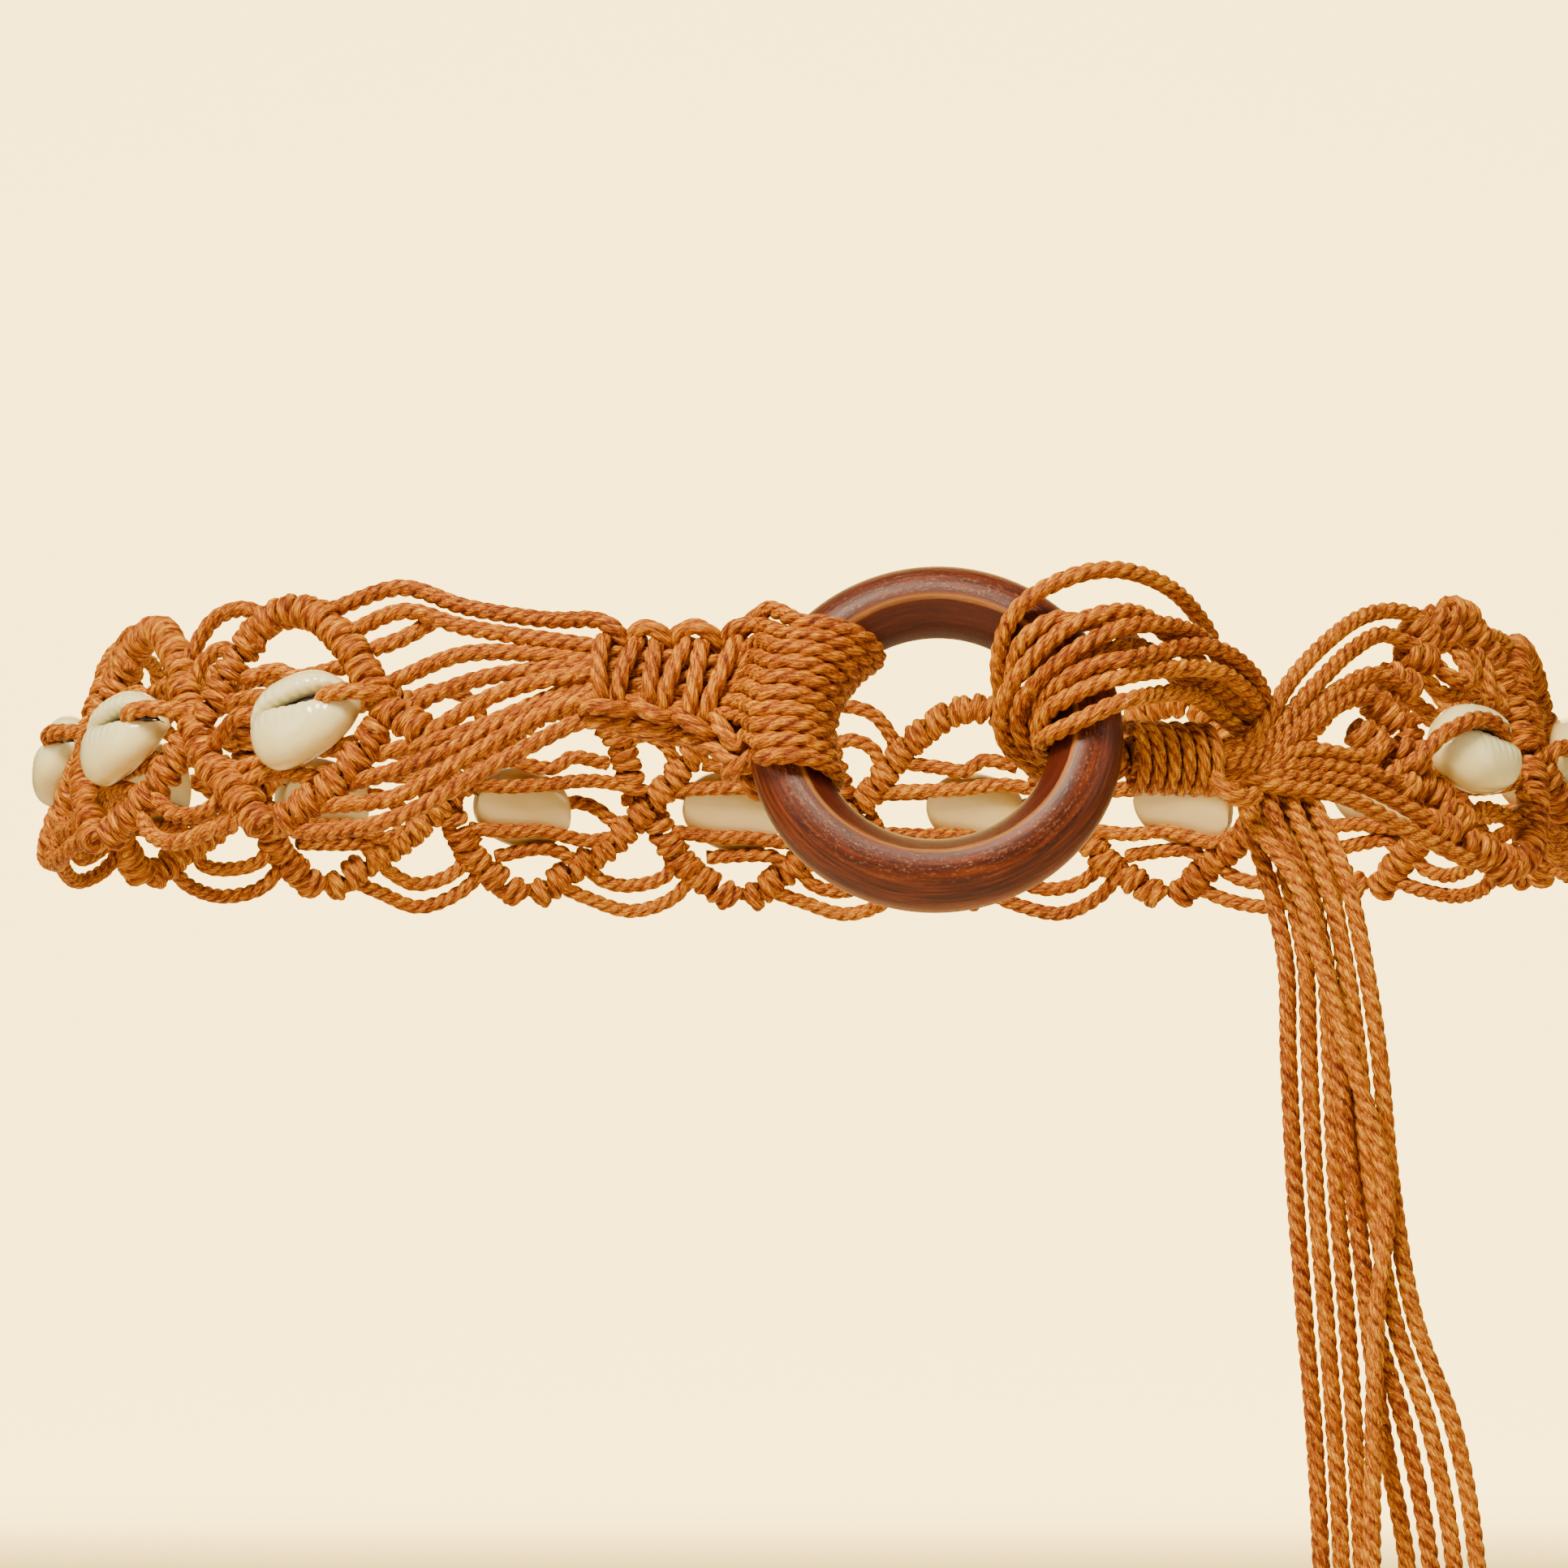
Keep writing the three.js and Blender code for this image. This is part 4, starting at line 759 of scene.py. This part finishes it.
JOINING_LOOPS = (
    ((0.5, 0.72, 3.4), (0.46, 0.98, 3.4), (0.3, 1.1, 3.6), (-0.14, 1.04, 3.6), (-0.34, 0.78, 3.6),
     (-0.44, 0.46, 3.4)),
    ((0.3, 0.4, 3.4), (0.26, 0.62, 3.4), (0.08, 0.76, 3.4), (-0.16, 0.64, 3.4), (-0.28, 0.34, 3.4)),
    ((-0.36, -0.36, 3.4), (-0.2, -0.7, 3.4), (0.16, -0.84, 3.6), (0.42, -0.78, 3.6), (0.56, -0.62, 3.4)),
    ((-0.52, -0.56, 3.4), (-0.3, -0.92, 3.4), (0.1, -1.08, 3.6), (0.52, -0.98, 3.6), (0.78, -0.86, 3.4)),
)
# The last diamond is opened up by the cords that leave it: looser knots, and the shell's cord runs along its slit.
LAST_RIBS = (
    ((0.42, 1.12), (0.78, 0.8), (0.93, 0.42), (0.97, 0.02)),
    ((-0.06, -0.97), (0.3, -0.93), (0.68, -0.56), (0.93, -0.12)),
)
# Loose hitches beside the fan, in millimetres on the belt.
LAST_KNOTS = (
    (137, 23.5), (129.3, 20.4), (122, 18.5), (118.6, 13.2), (112, 7.8), (106.2, 1.4), (101, -4.4), (109, -7.4),
    (105.4, -12), (112.9, -13.4), (116.3, -18), (112.2, -20.8), (120.3, -24), (125.6, -27),
)
LAST_LOOPS = (
    ((137, 25, 3.4), (129.5, 17, 3), (121, 17, 2.6), (116, 10, 2.6), (109, 3.5, 2.6), (103, -3.5, 2.6), (99, -4, 2)),
    ((104, -8, 2.4), (110.5, -11, 2.6), (109.5, -17, 2.6), (117, -21, 2.6), (124, -25, 2.8), (128, -27, 3.2)),
    ((120.5, 15, 3.6), (124, 9.5, 5.4), (129, 8.4, 5.6), (131.5, 12.5, 4.8), (131, 17.5, 3.6)),
)
KNOT_LENGTH = 0.0066
KNOT_SLOPE = math.radians(-28)
KNOT_SLOPE_RANGE = 0.35
KNOT_PAIRING = 0.2
KNOT_SWELLING = 0.14
# The first diamond has a cord that crosses to the fan, and two more hitches at its corner.
FIRST_CROSSING = ((-83.8, 12.9, 3.2), (-79.2, 14.2, 3.2), (-75.1, 16.6, 2.6), (-72, 19, 2.2))
FIRST_KNOTS = ((BAND_LEFT_END - 0.001, BAND_LEFT_RISE + 0.001), (BAND_LEFT_END + 0.0075, BAND_LEFT_RISE - 0.0035))
LAST_INNER_CORDS = (
    ((-0.42, 0.66, 3.4), (-0.16, 0.45, 2.6), (0.14, 0.41, 2.6), (0.44, 0.6, 2.6), (0.6, 0.8, 3.4)),
    ((-0.72, 0.38, 3.4), (-0.2, 0.23, 2.4), (0.36, 0.35, 2.4), (0.85, 0.4, 3.4)),
    ((-0.6, -0.3, 3.4), (-0.2, -0.34, 2.4), (0.3, -0.3, 2), (0.85, -0.2, 3.4)),
    ((-0.3, -0.66, 3.4), (0.05, -0.52, 2.6), (0.3, -0.6, 2.6), (0.6, -0.66, 3.4)),
)
LAST_SHELL_CORD = (
    (-0.98, -0.3, 4.6), (-0.85, -0.24, 7.4), (-0.69, -0.1, 10.4), (-0.52, -0.03, 12.2), (-0.35, 0.02, 12.6),
    (-0.12, 0, 12.4), (0.02, -0.07, 11.2), (0.1, -0.13, 8.6),
)
SHELL_CORD_DRIFT = 0.1
SHELL_CORD_PULL = 0.42
SHELL_CORD_DROP = 0.02
SHELL_CORDS = (
    ((-0.72, -0.17, 4.2), (-0.6, -0.12, 5.2), (-0.43, -0.03, 6.8), (-0.27, 0.01, 8.2), (-0.12, 0, 8)),
    ((1, 0.17, 4.8), (0.9, 0.14, 8), (0.74, 0.11, 10.8), (0.6, 0.07, 11), (0.5, 0.04, 8.6)),
)

for index in range(DIAMONDS):
    chance = random.Random(400 + index)
    centre = BAND_LEFT_END - (index + 0.5) * DIAMOND_WIDTH
    last = index == DIAMONDS - 1
    half_width = DIAMOND_WIDTH / 2
    half_height = DIAMOND_HEIGHT / 2 * (LAST_DIAMOND_STRETCH if last else 1)

    def spot(across, high, base=centre):
        along = base + across * half_width
        return along, band_rise(along) + high * half_height

    def placed(across, high, lift, base=centre):
        return on_belt(*spot(across, high, base), lift * MILLIMETRE)

    def near(value):
        return value + chance.uniform(-PLACE_RANGE, PLACE_RANGE)

    cords = [hitched_rib([spot(*place) for place in row], chance) for row in (LAST_RIBS if last else RIBS)]
    if last:
        for place in LAST_KNOTS:
            middle = Vector(place) * MILLIMETRE
            slope = KNOT_SLOPE + chance.uniform(-KNOT_SLOPE_RANGE, KNOT_SLOPE_RANGE)
            reach = Vector((math.cos(slope), math.sin(slope))) * KNOT_LENGTH / 2
            cords.append(hitched_rib([middle - reach, middle + reach], chance, KNOT_PAIRING, KNOT_SWELLING))
        for row in LAST_LOOPS:
            cords.append(lay_cord(belt_points(row), chance))
        cords.append(lay_cord([placed(*place) for place in LAST_SHELL_CORD], chance))
    for row in LAST_INNER_CORDS if last else INNER_CORDS:
        cords.append(lay_cord([placed(near(across), near(high), lift) for across, high, lift in row], chance))
    drift = 0 if index == 0 else SHELL_CORD_DRIFT if index < DIAMONDS / 2 else SHELL_CORD_PULL
    for row in () if last else SHELL_CORDS:
        points = [placed(across - drift * min(1, k / 2), high - SHELL_CORD_DROP, lift)
                  for k, (across, high, lift) in enumerate(row)]
        cords.append(lay_cord(points, chance))
    for row in () if last else JOINING_LOOPS:
        points = [placed(across, near(high), lift, centre - half_width) for across, high, lift in row]
        cords.append(lay_cord(points, chance))
    if index == 0:
        cords.append(lay_cord(belt_points(FIRST_CROSSING), chance))
        cords.append(hitched_rib(FIRST_KNOTS, chance))
    piece = cord_piece(f"knotted_diamond_{index + 1:02d}", cords, CORD_MATERIAL)
    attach(piece, "root")
    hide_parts(f"diamond_{index + 1:02d}")

# Cowries: small money cowries, one in each diamond, slit side out, held by a cord in the slit at each end. One shell
# is shaped and copied: the wall turns in along the slit, and fine teeth line both lips.
SHELL_LENGTH = 0.0215
SHELL_WIDTH = 0.017
SHELL_THICK = 0.0095
SHELL_SHIFT = 0.0035
SHELL_SEAT = 0.00326
SHELL_TILT = math.radians(19)
SHELL_TILT_RANGE = 0.06
FIRST_SHELL_DRIFT = 0.003
SHELL_DRIFT = 0.0008
SHELL_DROP = 0.0014
LAST_SHELL_DROP = 0.003
SHELL_RINGS = 96
SHELL_SEGMENTS = 56
SHELL_BLUNTNESS = 2.6
SHELL_TAPER = 0.07
SHELL_TAPER_PEAK = 1.01
SHELL_END_HEIGHT = 0.25
SHELL_SIDE_HEIGHT = 0.42
SHELL_TEETH = 11
TEETH_END = 0.9
TEETH_FADE = 8
TOOTH_REACH = 0.00016
TOOTH_DEPTH = 0.00024
TOOTH_STEPS = 3
SLIT_STEPS = 5
SLIT_DEPTH = 0.004
SLIT_FULL_WIDTH = 0.004
SLIT_WIDEST = 0.45

bpy.ops.object.select_all(action="DESELECT")
bpy.ops.mesh.primitive_uv_sphere_add(segments=SHELL_SEGMENTS, ring_count=SHELL_RINGS, radius=1)
shell_form = bpy.context.object
shell_form.name = "cowrie_form"
bpy.ops.object.mode_set(mode="EDIT")
bpy.ops.mesh.select_all(action="SELECT")
bpy.ops.transform.rotate(value=math.pi / 2, orient_axis="Y", center_override=(0, 0, 0))
bpy.ops.object.mode_set(mode="OBJECT")

# The slit from the shell's left end to its right: its place, as a share of the shell's half width there, and half its
# own width. The cord lies in the wide end.
SLIT_ALONG = (-1, -0.93, -0.5, -0.15, 0.15, 0.5, 1)
SLIT_PLACE = (0.3, 0.35, 0.33, 0.25, 0.21, 0.17, 0.15)
SLIT_HALF = (0.0001, 0.0002, 0.0006, 0.0012, 0.0018, 0.0018, 0.0016)
LIP_ROLL = (0.0006, 0.00016, 0.00003)

segment_step = 2 * math.pi / SHELL_SEGMENTS
shell_look = shell_form.data.attributes.new("shell_look", "FLOAT_VECTOR", "POINT")
for corner, value in zip(shell_form.data.vertices, shell_look.data):
    along = min(1, max(-1, corner.co.x))
    turn = math.atan2(corner.co.y, corner.co.z)
    steps = round(abs(turn) / segment_step)
    side = 1 if turn >= 0 else -1
    bulge = (1 - abs(along) ** SHELL_BLUNTNESS) ** 0.5
    half_width = SHELL_WIDTH / 2 * bulge * (1 - SHELL_TAPER * along) / SHELL_TAPER_PEAK
    height = SHELL_THICK * (SHELL_END_HEIGHT + (1 - SHELL_END_HEIGHT) * bulge)
    slit_half = min(float(np.interp(along, SLIT_ALONG, SLIT_HALF)), SLIT_WIDEST * half_width)
    slit_place = float(np.interp(along, SLIT_ALONG, SLIT_PLACE)) * half_width
    tooth = math.sin(math.pi * SHELL_TEETH * along) * min(1, max(0, TEETH_FADE * (TEETH_END - abs(along))))
    lip = slit_place + side * slit_half
    lip_angle = math.asin(min(0.95, max(-0.95, side * lip / max(half_width, 1e-6))))
    spread = max(0, steps - SLIT_STEPS) / (SHELL_SEGMENTS / 2 - SLIT_STEPS)
    angle = lip_angle + (math.pi - lip_angle) * spread
    across = side * half_width * math.sin(angle)
    rounding = math.cos(angle)
    if rounding > 0:
        high = height * (SHELL_SIDE_HEIGHT + (1 - SHELL_SIDE_HEIGHT) * rounding**0.75)
    else:
        high = height * SHELL_SIDE_HEIGHT * (1 - abs(rounding) ** 0.7)
    inward = max(0, SLIT_STEPS - steps) / SLIT_STEPS
    outward = max(0, steps - SLIT_STEPS)
    high -= LIP_ROLL[outward] if outward < len(LIP_ROLL) else 0
    high -= SLIT_DEPTH * inward * min(1, half_width / SLIT_FULL_WIDTH)
    across -= side * slit_half * 0.5 * inward**0.5
    if steps == 0:
        across = slit_place
    if abs(steps - SLIT_STEPS) < TOOTH_STEPS:
        across += side * TOOTH_REACH * tooth
        high -= TOOTH_DEPTH * max(0, -tooth)
    corner.co = (along * SHELL_LENGTH / 2, across, max(0, high))
    value.vector = (along, spread, inward)
bpy.ops.object.mode_set(mode="EDIT")
bpy.ops.mesh.select_all(action="SELECT")
bpy.ops.mesh.normals_make_consistent(inside=False)
bpy.ops.object.mode_set(mode="OBJECT")
bpy.ops.object.shade_smooth()


def polished_shell(tree):
    """Polished shell: cream with a warm yellow back, painted shade down inside the slit and a clear gloss."""
    look = kept(tree, "shell_look")
    place = add_node(tree, "ShaderNodeSeparateXYZ", {0: look}).outputs
    clouds = grain(tree, look, 2.2, 3)
    colour = ramp(
        tree,
        plus(tree, place["Y"], clouds, 0.3),
        (0.15, (1.0, 0.9, 0.52)),
        (0.45, (0.98, 0.82, 0.38)),
        (0.75, (0.7, 0.47, 0.14)),
        (1.0, (0.74, 0.54, 0.22)),
    )
    # Painted shade: the wall inside the slit is made near-black.
    inside = ranged(tree, place["Z"], 0.3, 0.75)
    return {
        "Base Color": mixed(tree, inside, colour, (0.03, 0.015, 0.006, 1)),
        "Roughness": 0.16,
        "Coat Weight": 0.7,
        "Coat Roughness": 0.04,
        "Subsurface Weight": 0.15,
        "Subsurface Radius": (0.002, 0.0014, 0.0008),
    }


shell_form.data.materials.append(new_material("polished_cowrie", polished_shell))
for index in range(DIAMONDS):
    shift = SHELL_SHIFT if index < DIAMONDS / 2 else -SHELL_SHIFT
    centre = BAND_LEFT_END - (index + 0.5) * DIAMOND_WIDTH + shift
    east, up, out = belt_axes(centre)[1:]
    origin = on_belt(centre, band_rise(centre), SHELL_SEAT)
    shell = shell_form.copy()
    shell.data = shell_form.data.copy()
    shell.name = f"cowrie_shell_{index + 1:02d}"
    bpy.context.scene.collection.objects.link(shell)
    drift = FIRST_SHELL_DRIFT if index == 0 else SHELL_DRIFT
    drop = LAST_SHELL_DROP if index == DIAMONDS - 1 else SHELL_DROP
    tilt = 0 if index == DIAMONDS - 1 else SHELL_TILT
    tilt += random.Random(600 + index).uniform(-SHELL_TILT_RANGE, SHELL_TILT_RANGE)
    for corner in shell.data.vertices:
        right = corner.co.x * math.cos(tilt) - corner.co.y * math.sin(tilt)
        high = corner.co.x * math.sin(tilt) + corner.co.y * math.cos(tilt)
        corner.co = origin + east * (right + drift) + up * (high - drop) + out * corner.co.z
    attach(shell, "root")
    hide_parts(f"cowrie_{index + 1:02d}")
bpy.data.objects.remove(shell_form)

# Right fan, coil and stub: eight cords leave one bundle, which is whipped with six tight turns beside the ring. The
# stub is the whipping's own end, tucked back under the fan.
COIL_STEPS = 72
COIL_TURN_STEPS = 12
COIL_CORD = 0.0024
COIL_RADIUS = (COIL_OUTSIDE - COIL_CORD) / 2
COIL_TUCK = 0.001
FAN_TUCK_RADIUS = 0.0022
FAN_EXIT_RISE = 0.0026
FAN_EXIT_LIFT = 0.0024
FAN_FALL = 0.0022
FAN_FALL_START = 80
FAN_FALL_LENGTH = 25
STUB_CORD = 0.0034
# In millimetres on the belt: fan cords as (along, rise), the stub as (along, rise, lift).
RIGHT_FAN = (
    ((73.5, -6.8), (86, 6.8), (96, 14.8), (105, 19.8), (113.5, 21.8), (121.3, 21.2)),
    ((73.5, -8.8), (90.9, 5.8), (100, 12.5), (109.9, 16.8), (118.5, 14.2)),
    ((76.2, -8.6), (95.6, 4.8), (105, 8.5), (112.3, 6.4)),
    ((76.5, -10.2), (83.5, -5.2), (99.4, 3.5), (105.5, 2.8), (108.2, -1.2)),
    ((76.5, -11.2), (84.4, -8.2), (97.3, -8.4), (101.5, -6.6)),
    ((76.2, -12.4), (87, -11.2), (97.2, -11.8), (105.7, -12.8)),
    ((76.5, -13.8), (86.8, -13.6), (96, -14.2), (113.6, -21.9)),
    ((73.5, -14.8), (90.6, -16.6), (103.9, -22), (117.4, -27.5)),
)
STUB = ((64.5, -15.5, 10.2), (65.3, -18.6, 11.4), (67.5, -20.2, 11.6), (71.5, -19.2, 10.8))

fan_cords = []
for k, row in enumerate(RIGHT_FAN):
    chance = random.Random(500 + k)
    angle = math.pi / 2 - 2 * math.pi * k / len(RIGHT_FAN)
    over, out = math.sin(angle), math.cos(angle)
    points = [
        on_belt(COIL_START + COIL_TUCK, COIL_RISE + FAN_TUCK_RADIUS * over, COIL_LIFT + FAN_TUCK_RADIUS * out),
        on_belt(COIL_START + COIL_LENGTH, COIL_RISE + FAN_EXIT_RISE * over, COIL_LIFT + FAN_EXIT_LIFT * out),
    ]
    for along, rise in row:
        fall = min(1, max(0, (along - FAN_FALL_START) / FAN_FALL_LENGTH))
        points.append(on_belt(along * MILLIMETRE, rise * MILLIMETRE, COIL_LIFT - FAN_FALL * fall))
    fan_cords.append(lay_cord(points, chance))
fan_cords.append(lay_cord(belt_points(STUB), random.Random(520), diameter=STUB_CORD))
piece = cord_piece("right_fan_cords", fan_cords, CORD_MATERIAL)
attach(piece, "root")
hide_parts("right_fan")

coil_points = []
for k in range(COIL_STEPS + 1):
    angle = 2 * math.pi * k / COIL_TURN_STEPS
    along = COIL_START + COIL_CORD / 2 + (COIL_LENGTH - COIL_CORD) * k / COIL_STEPS
    rise = COIL_RISE + COIL_RADIUS * math.cos(angle)
    coil_points.append(on_belt(along, rise, COIL_LIFT + COIL_RADIUS * math.sin(angle)))
piece = cord_piece("whipping", [lay_cord(coil_points, random.Random(530), diameter=COIL_CORD)], CORD_MATERIAL)
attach(piece, "root")
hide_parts("coil_wrap")

# Floor and light: a plain pale floor with a curved back that glows far behind the belt, as a bright room would. One
# big soft lamp hangs high in front, and a weaker one stands at each side.
FLOOR_HEIGHT = -0.32
FLOOR_NEAR = -30
FLOOR_HALF_WIDTH = 30
FLOOR_DEPTH = 3.2
SWEEP_RADIUS = 1.2
SWEEP_STEPS = 16
BACK_WALL_HEIGHT = 4
GLOW_STRENGTH = 5.5
ROOM_COLOUR = (1, 0.9, 0.68)
ROOM_STRENGTH = 0.28
LAMP_TARGET = Vector((0, -0.05, -0.02))
LAMPS = (
    ("high_lamp", (-0.3, -0.75, 0.85), 0.4, 28),
    ("left_lamp", (-1.0, -0.7, 0.25), 0.6, 3.5),
    ("right_lamp", (1.1, -0.5, 0.3), 0.6, 3),
)

bpy.ops.object.select_all(action="DESELECT")
bpy.ops.mesh.primitive_grid_add(x_subdivisions=1, y_subdivisions=SWEEP_STEPS + 2, size=2)
floor = bpy.context.object
floor.name = "floor"
for corner in floor.data.vertices:
    row = round((corner.co.y + 1) / 2 * (SWEEP_STEPS + 2))
    if row == 0:
        far, high = FLOOR_NEAR, 0
    elif row <= SWEEP_STEPS + 1:
        bend = (row - 1) / SWEEP_STEPS * math.pi / 2
        far = FLOOR_DEPTH + SWEEP_RADIUS * math.sin(bend)
        high = SWEEP_RADIUS * (1 - math.cos(bend))
    else:
        far, high = FLOOR_DEPTH + SWEEP_RADIUS, BACK_WALL_HEIGHT
    corner.co = (corner.co.x * FLOOR_HALF_WIDTH, far, FLOOR_HEIGHT + high)
bpy.ops.object.shade_smooth()


def glowing_floor(tree):
    """Plain pale paint that glows where it lies far behind the belt."""
    place = add_node(tree, "ShaderNodeTexCoord").outputs["Object"]
    room_parts = add_node(tree, "ShaderNodeSeparateXYZ", {0: place}).outputs
    glow = ranged(tree, room_parts["Y"], 2.4, 3.4)
    for start, end in ((-1.8, -1.1), (1.8, 1.1)):
        glow = times(tree, glow, ranged(tree, room_parts["X"], start, end))
    return {
        "Base Color": (0.88, 0.8, 0.6, 1),
        "Roughness": 0.9,
        "Emission Color": mixed(tree, glow, (0, 0, 0, 1), (1, 0.7, 0.22, 1)),
        "Emission Strength": GLOW_STRENGTH,
    }


floor.data.materials.append(new_material("pale_floor", glowing_floor))

world = bpy.data.worlds.new("pale_room")
world.use_nodes = True
room = {"Color": (*ROOM_COLOUR, 1), "Strength": ROOM_STRENGTH}
set_inputs(world.node_tree, world.node_tree.nodes["Background"], room)
bpy.context.scene.world = world

for name, place, width, power in LAMPS:
    bpy.ops.object.light_add(type="AREA", location=place)
    lamp = bpy.context.object
    lamp.name = name
    lamp.data.size = width
    lamp.data.energy = power
    lamp.data.color = ROOM_COLOUR
    lamp.rotation_euler = (LAMP_TARGET - Vector(place)).to_track_quat("-Z", "Y").to_euler()
